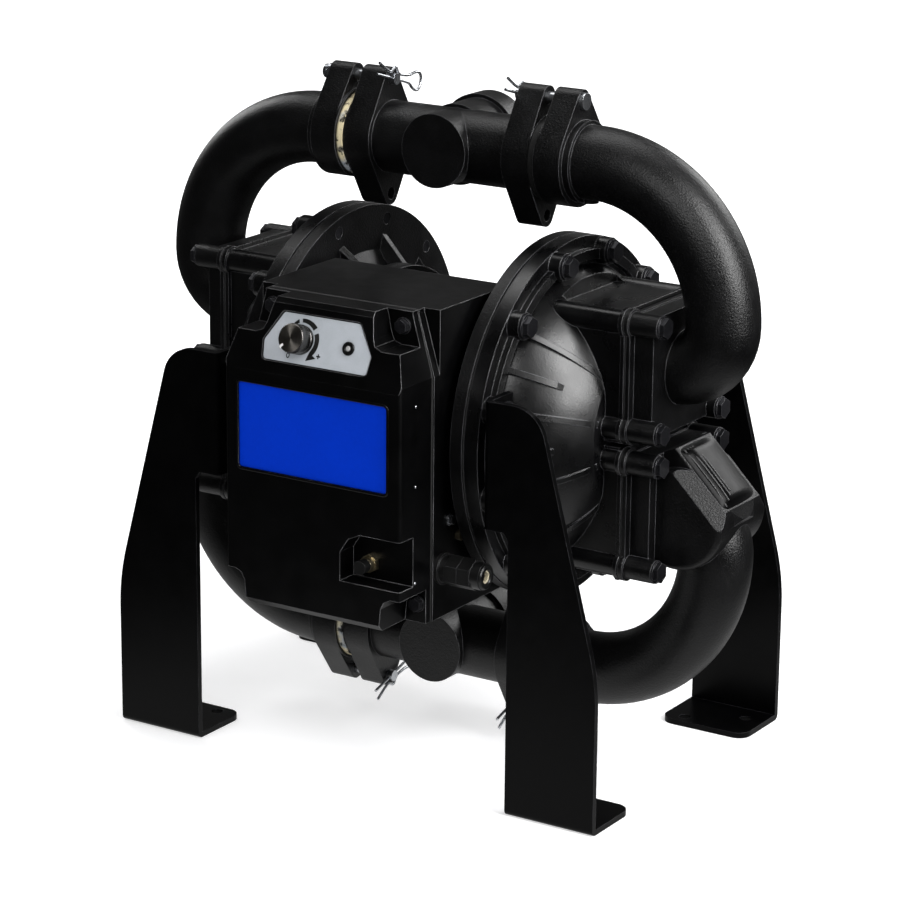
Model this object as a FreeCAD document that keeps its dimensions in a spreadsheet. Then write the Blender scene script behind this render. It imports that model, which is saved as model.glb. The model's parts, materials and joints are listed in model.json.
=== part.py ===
"""Electric double diaphragm pump on four sheet legs.

X runs along the diaphragm axis, Y towards the back, Z up. The origin is on the
floor, in the middle of the four feet. Lengths are millimetres.
"""
import FreeCAD, Part
import math
import os
import Sketcher
from FreeCAD import Placement, Rotation, Vector

SIZES = {
    # the whole pump
    "axis_height": 291.6,
    "manifold_offset": 214.8,
    "port_offset": 57.35,
    "half_stroke": 22,
    "slip_gap": 0.1,
    "fit_gap": 0.3,
    # cover rims and their bolts
    "rim_radius": 151.3,
    "rim_inner_face": 92.6,
    "air_rim_thick": 11,
    "membrane_thick": 2,
    "fluid_rim_thick": 12.9,
    "pitch_radius": 139.5,
    "rim_boss_radius": 11.3,
    "rim_boss_height": 10.5,
    "dome_curve": 120.5,
    "bolt_radius": 5,
    "bolt_flange_radius": 10.2,
    "bolt_head_height": 7,
    "hex_across": 15,
    # centre housing
    "barrel_radius": 98,
    "barrel_half": 60,
    "motor_bore": 80,
    "flange_radius": 104,
    "flange_thick": 8.5,
    "neck_radius": 84,
    "cover_screw_pitch": 92,
    "box_half_width": 85.5,
    "box_front": 163.5,
    "box_back": 52,
    "box_top": 117.4,
    "box_bottom": 138,
    "box_wall": 8.5,
    "bay_back": 110,
    "bevel_depth": 8,
    "bevel_top_half": 70.7,
    "bevel_drop": 50,
    # motor and drive
    "stator_inner": 52,
    "stator_half": 38,
    "rotor_gap": 0.6,
    "journal_radius": 20,
    "bearing_radius": 40,
    "bearing_start": 41,
    "bearing_width": 18,
    "nut_radius": 16,
    "nut_half": 30,
    "screw_radius": 10,
    "screw_half": 95,
    "bushing_radius": 13,
    "guide_pin_radius": 2,
    # diaphragms
    "plate_radius": 46,
    "inner_plate_thick": 8.6,
    "outer_plate_thick": 10,
    "plate_bolt_radius": 8,
    "plate_bolt_head": 12,
    # valve blocks
    "joint_face": 196,
    "block_half_width": 54,
    "block_top": 111,
    "block_start": 122,
    "block_gap": 4,
    "lip_thick": 3.6,
    "lip_half_width": 57.5,
    "lip_grow": 2.2,
    "corner_bolt_y": 50.6,
    "corner_bolt_z": 44,
    "corner_boss_radius": 9.7,
    "base_gasket_thick": 1.6,
    "valve_x": 166,
    "valve_bore": 20,
    "ball_radius": 16,
    "seat_bore": 12,
    "seat_thick": 8,
    "seat_radius": 24,
    "outlet_seat_z": 16,
    "inlet_seat_z": 24,
    "throat_radius": 14,
    "counterbore": 24,
    # elbows and manifolds
    "pipe_radius": 30.3,
    "pipe_bore": 25.3,
    "branch_bore": 24.4,
    "bend_large": 119.5,
    "bend_small": 37.95,
    "elbow_reach": 253.9,
    "base_block_height": 21,
    "boss_top": 226.3,
    "clamp_face": 96.3,
    "seal_thick": 5.8,
    "seal_radius": 35.6,
    "hub_radius": 37.8,
    "tee_hub_radius": 34.6,
    "elbow_ear_start": 98.2,
    "elbow_ear_end": 120.9,
    "tee_ear_start": 64.3,
    "tee_ear_end": 88.6,
    "pin_offset": 48.7,
    "ear_tip_radius": 9.7,
    "pin_radius": 4.8,
    "pin_head_radius": 7,
    "pin_head_thick": 3.2,
    "pin_tail": 5.5,
    "wedge_half_width": 29,
    "wedge_offset": 8,
    "knuckle_x": 236,
    "knuckle_rise": 2,
    "knuckle_radius": 42,
    "knuckle_half_width": 39.8,
    "clip_wire": 1.25,
    "disc_radius": 30.8,
    "disc_reach": 35.5,
    "port_radius": 34,
    "port_reach": 56,
    # legs
    "leg_thick": 5,
    "leg_inner": 153.1,
    "leg_outer": 235.4,
    "leg_face": 159.7,
    "leg_top": 51.4,
    "leg_straight": 131,
    "leg_shoulder_x": 188,
    "leg_shoulder_z": 26.4,
    "tab_bottom": -53.6,
    "tab_depth": 36,
    "leg_bend_round": 200,
    "leg_top_round": 30,
    "foot_depth": 62.6,
    "foot_corner": 12,
    "foot_hole": 5.25,
    "foot_hole_in": 18.9,
    "foot_hole_edge": 10.9,
    "foot_hole_step": 26,
    # control cover
    "cover_gasket_thick": 1.5,
    "cover_front": 210.3,
    "cover_half_width": 84.4,
    "cover_wall": 4.5,
    "cover_ridge": 59.4,
    "panel_slope": 18,
    "pocket_floor": 172,
    "cover_bolt_radius": 3,
    "cover_bolt_flange": 6.8,
    "cover_bolt_hex": 10,
    "cover_bolt_head": 6,
    "upper_bolt_x": 62.4,
    "upper_bolt_z": 105,
    "lower_bolt_x": 76.9,
    "lower_bolt_z": -122.1,
    "label_half_width": 71.6,
    "label_bottom": -23,
    "label_top": 48.6,
    "label_recess": 2.2,
    "label_thick": 0.8,
    "panel_thick": 1.2,
    "knob_x": 16.4,
    "knob_z": 88.1,
    "knob_radius": 12.2,
    "knob_length": 15.3,
    "lamp_x": 29.1,
    "lamp_z": 87.6,
    "lamp_radius": 3,
    "socket_x": 44.5,
    "socket_z": -88.6,
    "socket_floor": 191,
    # cable entry
    "gland_y": 149.7,
    "gland_z": -96.9,
    "gland_thread": 10,
    "gland_bore": 6.5,
    "gland_flange": 3,
    "gland_neck": 5.5,
    "gland_hex": 12,
    "gland_nut": 11.5,
    "gland_nose": 8,
    # electronics
    "board_y": 140,
    "board_thick": 1.6,
}

doc = FreeCAD.newDocument("diaphragm_pump")
sheet = doc.addObject("Spreadsheet::Sheet", "Sizes")
for row, (alias, number) in enumerate(SIZES.items(), 1):
    sheet.set(f"A{row}", alias)
    sheet.set(f"B{row}", str(number))
    sheet.setAlias(f"B{row}", alias)
doc.recompute()


class Size:
    """A number together with the sheet formula that it comes from."""

    def __init__(self, value, text):
        self.value = float(value)
        self.text = text

    def __add__(self, other):
        other = size_of(other)
        return Size(self.value + other.value, f"({self.text} + {other.text})")

    def __sub__(self, other):
        other = size_of(other)
        return Size(self.value - other.value, f"({self.text} - {other.text})")

    def __mul__(self, other):
        other = size_of(other)
        return Size(self.value * other.value, f"({self.text} * {other.text})")

    def __truediv__(self, other):
        other = size_of(other)
        return Size(self.value / other.value, f"({self.text} / {other.text})")

    def __neg__(self):
        return Size(-self.value, f"(-1 * {self.text})")

    def __radd__(self, other):
        return size_of(other) + self

    def __rsub__(self, other):
        return size_of(other) - self

    def __rmul__(self, other):
        return size_of(other) * self


def size_of(number):
    return number if isinstance(number, Size) else Size(number, repr(round(float(number), 9)))


def root(size):
    return Size(math.sqrt(size.value), f"sqrt({size.text})")


def tangent(size):
    return Size(math.tan(math.radians(size.value)), f"tan({size.text} * 1 deg)")


# Heights that the sheet gives from the pump's axis.
FROM_AXIS = (
    "cover_ridge", "label_bottom", "label_top", "knob_z", "lamp_z", "upper_bolt_z", "lower_bolt_z",
    "socket_z", "gland_z", "leg_top", "leg_shoulder_z", "tab_bottom",
)


class Sizes:
    """Every cell of the sheet as a Size, with all heights from the floor."""

    def __init__(self):
        for name in SIZES:
            setattr(self, name, Size(sheet.get(name), f"Sizes.{name}"))
        for name in FROM_AXIS:
            setattr(self, name, self.axis_height + getattr(self, name))


S = Sizes()
ZERO = size_of(0)
TURN = {
    "X": Rotation(Vector(0, 1, 0), 90),
    "Y": Rotation(Vector(1, 0, 0), -90),
    "Z": Rotation(),
}
PLANE = {
    "XY": Rotation(),
    "XZ": Rotation(Vector(1, 0, 0), 90),
    "YZ": Rotation(Vector(1, 1, 1), 120),
}
NORMAL = {"XY": Vector(0, 0, 1), "XZ": Vector(0, 1, 0), "YZ": Vector(1, 0, 0)}


def bind(thing, field, size):
    """Set one property and tie it to its formula."""
    size = size_of(size)
    thing.setExpression(field, size.text)


def place(thing, spot, rotation=None):
    """Put an object at a point whose three coordinates are sizes."""
    spot = [size_of(c) for c in spot]
    thing.Placement = Placement(Vector(*[c.value for c in spot]), rotation or Rotation())
    for letter, coordinate in zip("xyz", spot):
        bind(thing, f"Placement.Base.{letter}", coordinate)
    return thing


def rod(axis, spot, radius, length):
    """A cylinder from a point along X, Y or Z."""
    made = doc.addObject("Part::Cylinder", "rod")
    bind(made, "Radius", radius)
    bind(made, "Height", length)
    return place(made, spot, TURN[axis])


def tilted_rod(spot, rotation, radius, length):
    made = doc.addObject("Part::Cylinder", "rod")
    bind(made, "Radius", radius)
    bind(made, "Height", length)
    return place(made, spot, rotation)


def block(low, high):
    """A box between two corners."""
    made = doc.addObject("Part::Box", "block")
    low = [size_of(c) for c in low]
    high = [size_of(c) for c in high]
    for field, a, b in zip(("Length", "Width", "Height"), low, high):
        bind(made, field, b - a)
    return place(made, low)


def arc_between(start, end, radius):
    """Arc that bulges to the left of the way from start to end."""
    chord = end - start
    right = Vector(chord.y, -chord.x, 0).normalize()
    centre = (start + end) / 2 + right * math.sqrt(radius**2 - (chord.Length / 2) ** 2)
    first, last = (math.atan2(p.y - centre.y, p.x - centre.x) for p in (end, start))
    return Part.ArcOfCircle(Part.Circle(centre, Vector(0, 0, 1), radius), first, last)


def outline(plane, points, spot=(0, 0, 0), arcs={}):
    """A closed sketch with every corner tied to its formula; arcs gives a side's radius by its number."""
    made = doc.addObject("Sketcher::SketchObject", "outline")
    points = [(size_of(u), size_of(v)) for u, v in points]
    count = len(points)
    for i in range(count):
        a, b = points[i], points[(i + 1) % count]
        start = Vector(a[0].value, a[1].value, 0)
        end = Vector(b[0].value, b[1].value, 0)
        side = arc_between(start, end, arcs[i].value) if i in arcs else Part.LineSegment(start, end)
        made.addGeometry(side, False)
    for i in range(count):
        after = (i + 1) % count
        made.addConstraint(Sketcher.Constraint("Coincident", i, 1 if i in arcs else 2, after, 2 if after in arcs else 1))
    for i, corner in enumerate(points):
        for kind, size in zip(("DistanceX", "DistanceY"), corner):
            rule = made.addConstraint(Sketcher.Constraint(kind, -1, 1, i, 2 if i in arcs else 1, size.value))
            made.setExpression(f"Constraints[{rule}]", size.text)
    for i, radius in arcs.items():
        rule = made.addConstraint(Sketcher.Constraint("Radius", i, radius.value))
        made.setExpression(f"Constraints[{rule}]", radius.text)
    return place(made, spot, PLANE[plane])


def prism(plane, points, start, length):
    """An outline pushed out along its plane's axis, from start, by length."""
    normal = NORMAL[plane]
    start = size_of(start)
    sketch = outline(plane, points, [size_of(c) * start for c in normal])
    made = doc.addObject("Part::Extrusion", "prism")
    made.Base = sketch
    made.DirMode = "Custom"
    made.Dir = normal
    made.Solid = True
    bind(made, "LengthFwd", length)
    return made


def turned(points, height, axis=Vector(1, 0, 0), arcs={}):
    """An outline of (along, radius) points turned about the pump's own axis."""
    sketch = outline("XZ", points, (0, 0, height), arcs)
    made = doc.addObject("Part::Revolution", "turned")
    made.Source = sketch
    made.Axis = axis
    made.Base = Vector(0, 0, size_of(height).value)
    bind(made, "Base.z", height)
    made.Angle = 360
    made.Solid = True
    return made


def quarter_bend(spot, rotation, bend, radius):
    """A quarter of a torus about its placement's Z."""
    made = doc.addObject("Part::Torus", "bend")
    bind(made, "Radius1", bend)
    bind(made, "Radius2", radius)
    made.Angle3 = 90
    return place(made, spot, rotation)


def joined(*things):
    made = doc.addObject("Part::MultiFuse", "joined")
    made.Shapes = list(things)
    return made


def group(*things):
    made = doc.addObject("Part::Compound", "group")
    made.Links = list(things)
    return made


def without(base, *tools):
    made = doc.addObject("Part::Cut", "trimmed")
    made.Base = base
    made.Tool = tools[0] if len(tools) == 1 else joined(*tools)
    return made


def common(*things):
    made = doc.addObject("Part::MultiCommon", "common")
    made.Shapes = list(things)
    return made


def mirrored(source, normal, height=0):
    """The mirror image across the plane through the given height."""
    made = doc.addObject("Part::Mirroring", "mirrored")
    made.Source = source
    made.Normal = normal
    made.Base = Vector(0, 0, size_of(height).value)
    bind(made, "Base.z", height)
    return made


LEFT = Vector(1, 0, 0)
BACK = Vector(0, 1, 0)
DOWN = Vector(0, 0, 1)


def rounded(base, radius, chosen):
    """Round the edges that a test picks from the built shape."""
    doc.recompute()
    made = doc.addObject("Part::Fillet", "rounded")
    made.Base = base
    picked = [i for i, edge in enumerate(base.Shape.Edges, 1) if chosen(edge)]
    made.Edges = [(i, radius, radius) for i in picked]
    return made


def runs_along(edge, direction, shortest=1.0):
    """A straight edge parallel to a direction and at least so long."""
    if edge.Curve.TypeId != "Part::GeomLine" or edge.Length < shortest:
        return False
    a, b = edge.Vertexes[0].Point, edge.Vertexes[1].Point
    return abs((b - a).normalize().dot(direction)) > 0.999


def hexagon(across):
    """Corners of a hexagon in its own plane, with two corners on the second axis."""
    corner = size_of(across) / math.sqrt(3)
    angles = [math.radians(60 * k + 30) for k in range(6)]
    return [(corner * math.cos(a), corner * math.sin(a)) for a in angles]


def hex_bar(axis, spot, across, length):
    """A hexagonal bar from a point along X or Y."""
    plane = {"X": "YZ", "Y": "XZ"}[axis]
    sketch = outline(plane, hexagon(across), spot)
    made = doc.addObject("Part::Extrusion", "hex_bar")
    made.Base = sketch
    made.DirMode = "Custom"
    made.Dir = NORMAL[plane]
    made.Solid = True
    bind(made, "LengthFwd", length)
    return made


def flange_bolt(seat_x, y, z, shank, radius=None, flange=None, across=None, head=None):
    """A hex flange bolt along X: its head's seat is at seat_x, its shank points inward."""
    radius = radius or S.bolt_radius
    flange = flange or S.bolt_flange_radius
    across = across or S.hex_across
    head = head or S.bolt_head_height
    washer = head * 0.3
    parts = [
        rod("X", (seat_x - shank, y, z), radius, shank),
        rod("X", (seat_x, y, z), flange, washer),
        hex_bar("X", (seat_x + washer, y, z), across, head - washer),
    ]
    return joined(*parts)


NODES = []


def node(name, thing):
    """Name a finished sub-part and keep it for the hand-in."""
    thing.Label = name
    NODES.append(thing)
    return thing


AXIS = S.axis_height
BOTTOM = AXIS - S.box_bottom


def polar(radius, degrees):
    """A place on the bolt circle: degrees from the top towards the front."""
    turn = math.radians(degrees)
    return radius * -math.sin(turn), AXIS + radius * math.cos(turn)


RIM_ANGLES = [15 + 30 * k for k in range(12)]
LEG_ANGLES = (75, 105, 255, 285)
AIR_FACE = S.rim_inner_face + S.air_rim_thick
FLUID_FACE = AIR_FACE + S.membrane_thick
RIM_FACE = FLUID_FACE + S.fluid_rim_thick
BOSS_FACE = RIM_FACE + S.rim_boss_height
HOLE = S.bolt_radius + S.fit_gap


def spun_prism(points, degrees, width, arcs={}):
    """An (along, radius) outline in a plane through the pump's axis, as thick as width."""
    tilt = Rotation(Vector(1, 0, 0), degrees)
    sketch = outline("XZ", points, (0, 0, AXIS), arcs)
    sketch.Placement.Rotation = tilt * PLANE["XZ"]
    made = doc.addObject("Part::Extrusion", "rib")
    made.Base = sketch
    made.DirMode = "Custom"
    made.Dir = tilt * Vector(0, 1, 0)
    made.Symmetric = True
    made.Solid = True
    bind(made, "LengthFwd", width)
    return made


FLANGE_FACE = S.barrel_half + S.flange_thick
SCREW_ANGLES = [60 * k for k in range(6)]
PIN_X = S.barrel_half + S.flange_thick / 2
PIN_REACH = S.bushing_radius + 8
CHAMBER_RADIUS = S.pitch_radius - 21.5


def air_cover_right():
    """Dished inner cover with the motor bearing's seat and the shaft bushing's bore."""
    wall = S.barrel_half
    outside = [
        (wall, S.bushing_radius),
        (wall, S.bearing_radius),
        (S.bearing_start, S.bearing_radius),
        (S.bearing_start, S.bearing_radius + 6),
        (wall, S.bearing_radius + 6),
        (wall, S.motor_bore - 8),
        (wall - 3, S.motor_bore - 8),
        (wall - 3, S.motor_bore - S.slip_gap),
        (wall, S.motor_bore - S.slip_gap),
        (wall, S.flange_radius),
        (FLANGE_FACE, S.flange_radius),
        (FLANGE_FACE, S.neck_radius),
        (FLANGE_FACE + 3.5, S.neck_radius),
        (S.rim_inner_face, CHAMBER_RADIUS - 6),
        (S.rim_inner_face, S.rim_radius),
        (AIR_FACE, S.rim_radius),
        (AIR_FACE, CHAMBER_RADIUS),
        (AIR_FACE - 7, CHAMBER_RADIUS - 6),
        (FLANGE_FACE + 10, S.neck_radius - 4),
        (FLANGE_FACE, S.neck_radius - 16),
        (FLANGE_FACE, S.bushing_radius),
    ]
    body = turned(outside, AXIS)
    rib = [
        (FLANGE_FACE - 1, S.neck_radius - 1),
        (FLANGE_FACE - 1, S.flange_radius - 0.5),
        (S.rim_inner_face + 1, S.pitch_radius - 13),
        (S.rim_inner_face + 1, CHAMBER_RADIUS - 6),
    ]
    ribs = [spun_prism(rib, angle, 7) for angle in RIM_ANGLES if not 20 < angle < 160]
    holes = [
        rod("X", (S.rim_inner_face - 1, *polar(S.pitch_radius, a)), S.bolt_radius + S.slip_gap, 20)
        for a in RIM_ANGLES
    ]
    screws = [
        rod("X", (wall - 1, *polar(S.cover_screw_pitch, a)), S.cover_bolt_radius + S.fit_gap, 12)
        for a in SCREW_ANGLES
    ]
    pin = rod("Z", (PIN_X, 0, AXIS), S.guide_pin_radius + S.slip_gap / 2, PIN_REACH)
    return without(joined(body, *ribs), *holes, *screws, pin)


RIB_TOP = {2: S.dome_curve + 4.5}


def dome_rib(reach, shoulder, end):
    """Outline of a rib that stands on the dome and runs out at a distance from the rim's face."""
    foot = S.pitch_radius - 18
    return [
        (RIM_FACE - 1, foot - 14),
        (RIM_FACE - 1, foot + 13),
        (RIM_FACE + 9.5, foot + 6),
        (RIM_FACE + reach - 5, shoulder),
        (RIM_FACE + reach, end),
        (RIM_FACE + reach - 1, end - 8),
        (RIM_FACE + 20, foot - 14),
    ]


def fluid_cover_right():
    """Outer dome with radial ribs, twelve bolt bosses and two valve blocks."""
    start = S.pitch_radius - 11.5
    profile = [
        (FLUID_FACE, ZERO),
        (FLUID_FACE, S.rim_radius),
        (RIM_FACE, S.rim_radius),
        (RIM_FACE, S.pitch_radius + 1),
        (RIM_FACE + 5.5, S.pitch_radius + 1),
        (RIM_FACE + 5.5, S.pitch_radius - 7.5),
        (RIM_FACE, S.pitch_radius - 7.5),
        (RIM_FACE, start),
        (RIM_FACE + 58.5, start - 58),
        (RIM_FACE + 59.5, start - 64),
        (RIM_FACE + 59.5, ZERO),
    ]
    parts = [turned(profile, AXIS, arcs={7: S.dome_curve})]
    for angle in (45, 75, 105, 135):
        parts += [spun_prism(dome_rib(59.5, start - 49, start - 61), side * angle, 5, RIB_TOP) for side in (-1, 1)]
    for angle in (60, 90, 120):
        parts += [spun_prism(dome_rib(41.5, start - 23, start - 34), side * angle, 5, RIB_TOP) for side in (-1, 1)]
    for angle in RIM_ANGLES:
        y, z = polar(S.pitch_radius, angle)
        parts.append(rod("X", (FLUID_FACE + 1, y, z), S.rim_boss_radius, BOSS_FACE - FLUID_FACE - 1))
    upper = valve_block()
    parts += [upper, mirrored(upper, DOWN, AXIS)]
    chamber = [
        (FLUID_FACE, ZERO),
        (FLUID_FACE, CHAMBER_RADIUS),
        (RIM_FACE + 1.5, CHAMBER_RADIUS - 5),
        (RIM_FACE + 15.5, CHAMBER_RADIUS - 18),
        (RIM_FACE + 24.5, CHAMBER_RADIUS - 40),
        (RIM_FACE + 24.5, S.plate_radius),
        (RIM_FACE + 31.5, size_of(30)),
        (RIM_FACE + 31.5, ZERO),
    ]
    cuts = [turned(chamber, AXIS)]
    for angle in RIM_ANGLES:
        y, z = polar(S.pitch_radius, angle)
        cuts.append(rod("X", (FLUID_FACE - 1, y, z), HOLE, BOSS_FACE - FLUID_FACE + 2))
    inner = S.leg_face - S.tab_depth - S.fit_gap
    low = (BOSS_FACE, -S.leg_face, S.tab_bottom)
    relief = block(low, (BOSS_FACE + S.leg_thick + S.fit_gap, -inner, S.leg_top))
    level = AXIS + S.block_top - 3
    half = S.corner_bolt_y - 6.6
    level_top = block((RIM_FACE + 12, -half, level), (RIM_FACE + 45, half, level + 13))
    cuts += [relief, mirrored(relief, BACK), level_top, mirrored(level_top, DOWN, AXIS)]
    return without(joined(*parts), *cuts, *valve_passages())


def port_corners(height):
    """Where the four bolts of an elbow base stand round a port."""
    spots = []
    for side in (-1, 1):
        for level in (-1, 1):
            spots.append((side * S.corner_bolt_y, height + level * S.corner_bolt_z))
    return spots


def valve_block():
    """Upper valve block: a squared boss with a bolt bar at each corner and a lip."""
    bottom = AXIS + S.block_gap / 2
    top = AXIS + S.block_top
    lip = S.joint_face - S.lip_thick
    body = block((S.block_start, -S.block_half_width, bottom), (S.joint_face, S.block_half_width, top - 3))
    rim = block((lip, -S.lip_half_width, bottom + 1), (S.joint_face, S.lip_half_width, top + 1))
    parts = [body, rim]
    for y, z in port_corners(AXIS + S.port_offset):
        length = S.joint_face - S.block_start - 8
        parts.append(rod("X", (S.joint_face - length, y, z), S.corner_boss_radius, length))
        parts.append(rod("X", (lip, y, z), S.corner_boss_radius + S.lip_grow, S.lip_thick))
    return joined(*parts)


def seat_shape(height, grow):
    """A seat plate with one straight end, seen from above."""
    radius = S.seat_radius + grow
    low = AXIS + height - grow
    high = AXIS + height + S.seat_thick + grow
    disc = rod("Z", (S.valve_x, 0, low), radius, high - low)
    tail = block((S.valve_x, -radius, low), (S.joint_face - S.slip_gap + grow * 2, radius, high))
    return joined(disc, tail)


def valve_passages():
    """The valve bore, its seats' slots, both ports and the way to the chamber."""
    cuts = [
        rod("Z", (S.valve_x, 0, AXIS - 80), S.valve_bore, size_of(146)),
        rod("X", (RIM_FACE + 20, 0, AXIS - 4), S.valve_bore - 2, S.valve_x - RIM_FACE - 20),
        seat_shape(S.outlet_seat_z, S.slip_gap),
        seat_shape(-S.inlet_seat_z - S.seat_thick, S.slip_gap),
    ]
    for side in (-1, 1):
        port = AXIS + side * S.port_offset
        cuts.append(rod("X", (S.valve_x, 0, port), S.throat_radius, S.joint_face - S.valve_x + 1))
        cuts.append(rod("X", (S.joint_face - 6, 0, port), S.counterbore, size_of(7)))
        for y, z in port_corners(port):
            cuts.append(rod("X", (S.joint_face - 22, y, z), S.bolt_radius + S.slip_gap, size_of(23)))
    return cuts


def valve_seats():
    """Four seat plates, each bored for its ball."""
    seats = []
    for height in (S.outlet_seat_z, -S.inlet_seat_z - S.seat_thick):
        bore = rod("Z", (S.valve_x, 0, AXIS + height - 1), S.seat_bore, S.seat_thick + 2)
        seats.append(without(seat_shape(height, ZERO), bore))
    return group(*seats, *[mirrored(seat, LEFT) for seat in seats])


def valve_ball(seat_top, side):
    """A ball that rests on its seat's bore, held off by the fit gap."""
    reach = S.ball_radius + S.fit_gap
    centre = AXIS + seat_top + root(reach * reach - S.seat_bore * S.seat_bore)
    made = doc.addObject("Part::Sphere", "ball")
    bind(made, "Radius", S.ball_radius)
    return place(made, (S.valve_x * side, 0, centre))


def diaphragm_right():
    """Rubber disc with one rolled fold between its clamped rim and its plates."""
    thick = S.membrane_thick
    fold = [
        (size_of(0), S.bushing_radius - 5),
        (size_of(0), S.plate_radius + 2),
        (size_of(6), S.plate_radius + 12),
        (size_of(11), S.plate_radius + 28),
        (size_of(11), S.plate_radius + 44),
        (size_of(6), CHAMBER_RADIUS - 10),
        (size_of(0), CHAMBER_RADIUS - 1),
        (size_of(0), S.rim_radius - 1.5),
    ]
    near = [(AIR_FACE + x, r) for x, r in fold]
    far = [(AIR_FACE + thick + x, r) for x, r in reversed(fold)]
    body = turned(near + far, AXIS)
    holes = [
        rod("X", (AIR_FACE - 1, *polar(S.pitch_radius, a)), HOLE, thick + 2)
        for a in RIM_ANGLES
    ]
    return without(body, *holes)


def inner_plate_right():
    """Backing plate between the screw's end and the diaphragm."""
    face = AIR_FACE - S.inner_plate_thick
    points = [
        (face, S.plate_bolt_radius + S.slip_gap),
        (face, S.plate_radius - 16),
        (face + 4, S.plate_radius),
        (AIR_FACE, S.plate_radius),
        (AIR_FACE, S.plate_bolt_radius + S.slip_gap),
    ]
    return turned(points, AXIS)


def outer_plate_right():
    """Clamping plate on the wet side of the diaphragm."""
    points = [
        (FLUID_FACE, S.plate_bolt_radius + S.slip_gap),
        (FLUID_FACE, S.plate_radius),
        (FLUID_FACE + 4, S.plate_radius),
        (FLUID_FACE + S.outer_plate_thick, S.plate_radius - 18),
        (FLUID_FACE + S.outer_plate_thick, S.plate_bolt_radius + S.slip_gap),
    ]
    return turned(points, AXIS)


PLATE_BOLT_SEAT = FLUID_FACE + S.outer_plate_thick
PLATE_BOLT_END = S.screw_half - 20


def plate_bolt_right():
    """Bolt through the plates and the diaphragm into the screw's end."""
    radius = S.plate_bolt_radius
    shank = rod("X", (PLATE_BOLT_END, 0, AXIS), radius - 2, AIR_FACE - S.inner_plate_thick - PLATE_BOLT_END + 1)
    body = rod("X", (AIR_FACE - S.inner_plate_thick, 0, AXIS), radius, PLATE_BOLT_SEAT - AIR_FACE + S.inner_plate_thick + 1)
    washer = rod("X", (PLATE_BOLT_SEAT, 0, AXIS), S.plate_bolt_head, size_of(2))
    head = hex_bar("X", (PLATE_BOLT_SEAT + 1, 0, AXIS), S.plate_bolt_head * 1.6, size_of(8))
    return joined(shank, body, washer, head)


def center_housing():
    """Motor barrel with the electronics box cast on its front."""
    half = S.barrel_half
    barrel = rod("X", (-half, 0, AXIS), S.barrel_radius, half * 2)
    rings = [rod("X", (side * half - 4 - side * 4, 0, AXIS), S.flange_radius, size_of(8)) for side in (-1, 1)]
    low = (-S.box_half_width, -S.box_front, BOTTOM)
    high = (S.box_half_width, -S.box_back, AXIS + S.box_top)
    box = without(block(low, high), *corner_bevels(), *neck_clearances())
    outside = joined(barrel, *rings, box)
    cuts = [
        rod("X", (-half - 1, 0, AXIS), S.motor_bore, half * 2 + 2),
        bay(),
        rod("Y", (0, -S.bay_back - 1, AXIS), size_of(10), S.bay_back - S.motor_bore + 4),
        rod("X", (S.box_half_width - S.box_wall - 1, -S.gland_y, S.gland_z), S.gland_thread + S.slip_gap, S.box_wall + 2),
        rod("X", (S.box_half_width - 7, -GROUND[0], GROUND[1]), size_of(2.6), size_of(8)),
        rod("X", (S.box_half_width - 6, -PLUG[0], PLUG[1]), size_of(3.4), size_of(7)),
    ]
    for x, z in COVER_BOLTS:
        cuts.append(rod("Y", (x, -S.box_front - 1, z), S.cover_bolt_radius + S.slip_gap, size_of(24)))
    for side in (-1, 1):
        for angle in SCREW_ANGLES:
            y, z = polar(S.cover_screw_pitch, angle)
            cuts.append(rod("X", (side * (half - 8) - 9, y, z), S.cover_bolt_radius + S.slip_gap, size_of(18)))
    for x, z in STANDOFFS:
        cuts.append(rod("Y", (x, -S.bay_back - 1, z), size_of(2.1), size_of(6)))
    return without(outside, *cuts)


GROUND = (size_of(139.4), AXIS - 58.6)
PLUG = (size_of(127), AXIS - 74.6)
COVER_BOLTS = [
    (-S.upper_bolt_x, S.upper_bolt_z),
    (S.upper_bolt_x, S.upper_bolt_z),
    (-S.lower_bolt_x, S.lower_bolt_z),
    (S.lower_bolt_x, S.lower_bolt_z),
]
BOX_TOP = AXIS + S.box_top
STANDOFFS = [(sx * size_of(58), AXIS + sz * size_of(78)) for sx in (-1, 1) for sz in (-1, 1)]


def box_face(half, inset):
    """The box's outline from the front, with bevelled upper corners, drawn in by an inset."""
    top = BOX_TOP - inset
    shoulder = BOX_TOP - S.bevel_drop - 3 - inset * 0.15
    corner = S.bevel_top_half - inset * 0.75
    if size_of(inset).value:
        right = [(half - inset, shoulder), (corner - 0.9, top)]
    else:
        right = [(half, shoulder), (corner, top - 3), (corner, top)]
    left = [(-x, z) for x, z in reversed(right)]
    return [(-half + inset, BOTTOM + inset), (half - inset, BOTTOM + inset), *right, *left]


def corner_bevels():
    """Cuts off the two upper corners at the box's joint face."""
    shoulder = BOX_TOP - S.bevel_drop - 3
    cut = prism(
        "XZ",
        [
            (S.bevel_top_half, BOX_TOP + 1),
            (S.box_half_width + 1, BOX_TOP + 1),
            (S.box_half_width + 1, shoulder),
            (S.box_half_width, shoulder),
            (S.bevel_top_half, BOX_TOP - 3),
        ],
        -S.box_front - 1,
        S.bevel_depth + 1,
    )
    return [cut, mirrored(cut, LEFT)]


def neck_clearances():
    """Room for the air covers' flanges beside the barrel."""
    radius = S.flange_radius + 1
    length = S.box_half_width - S.barrel_half + 2
    return [
        rod("X", (S.barrel_half, 0, AXIS), radius, length),
        rod("X", (-S.barrel_half - length, 0, AXIS), radius, length),
    ]


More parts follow.
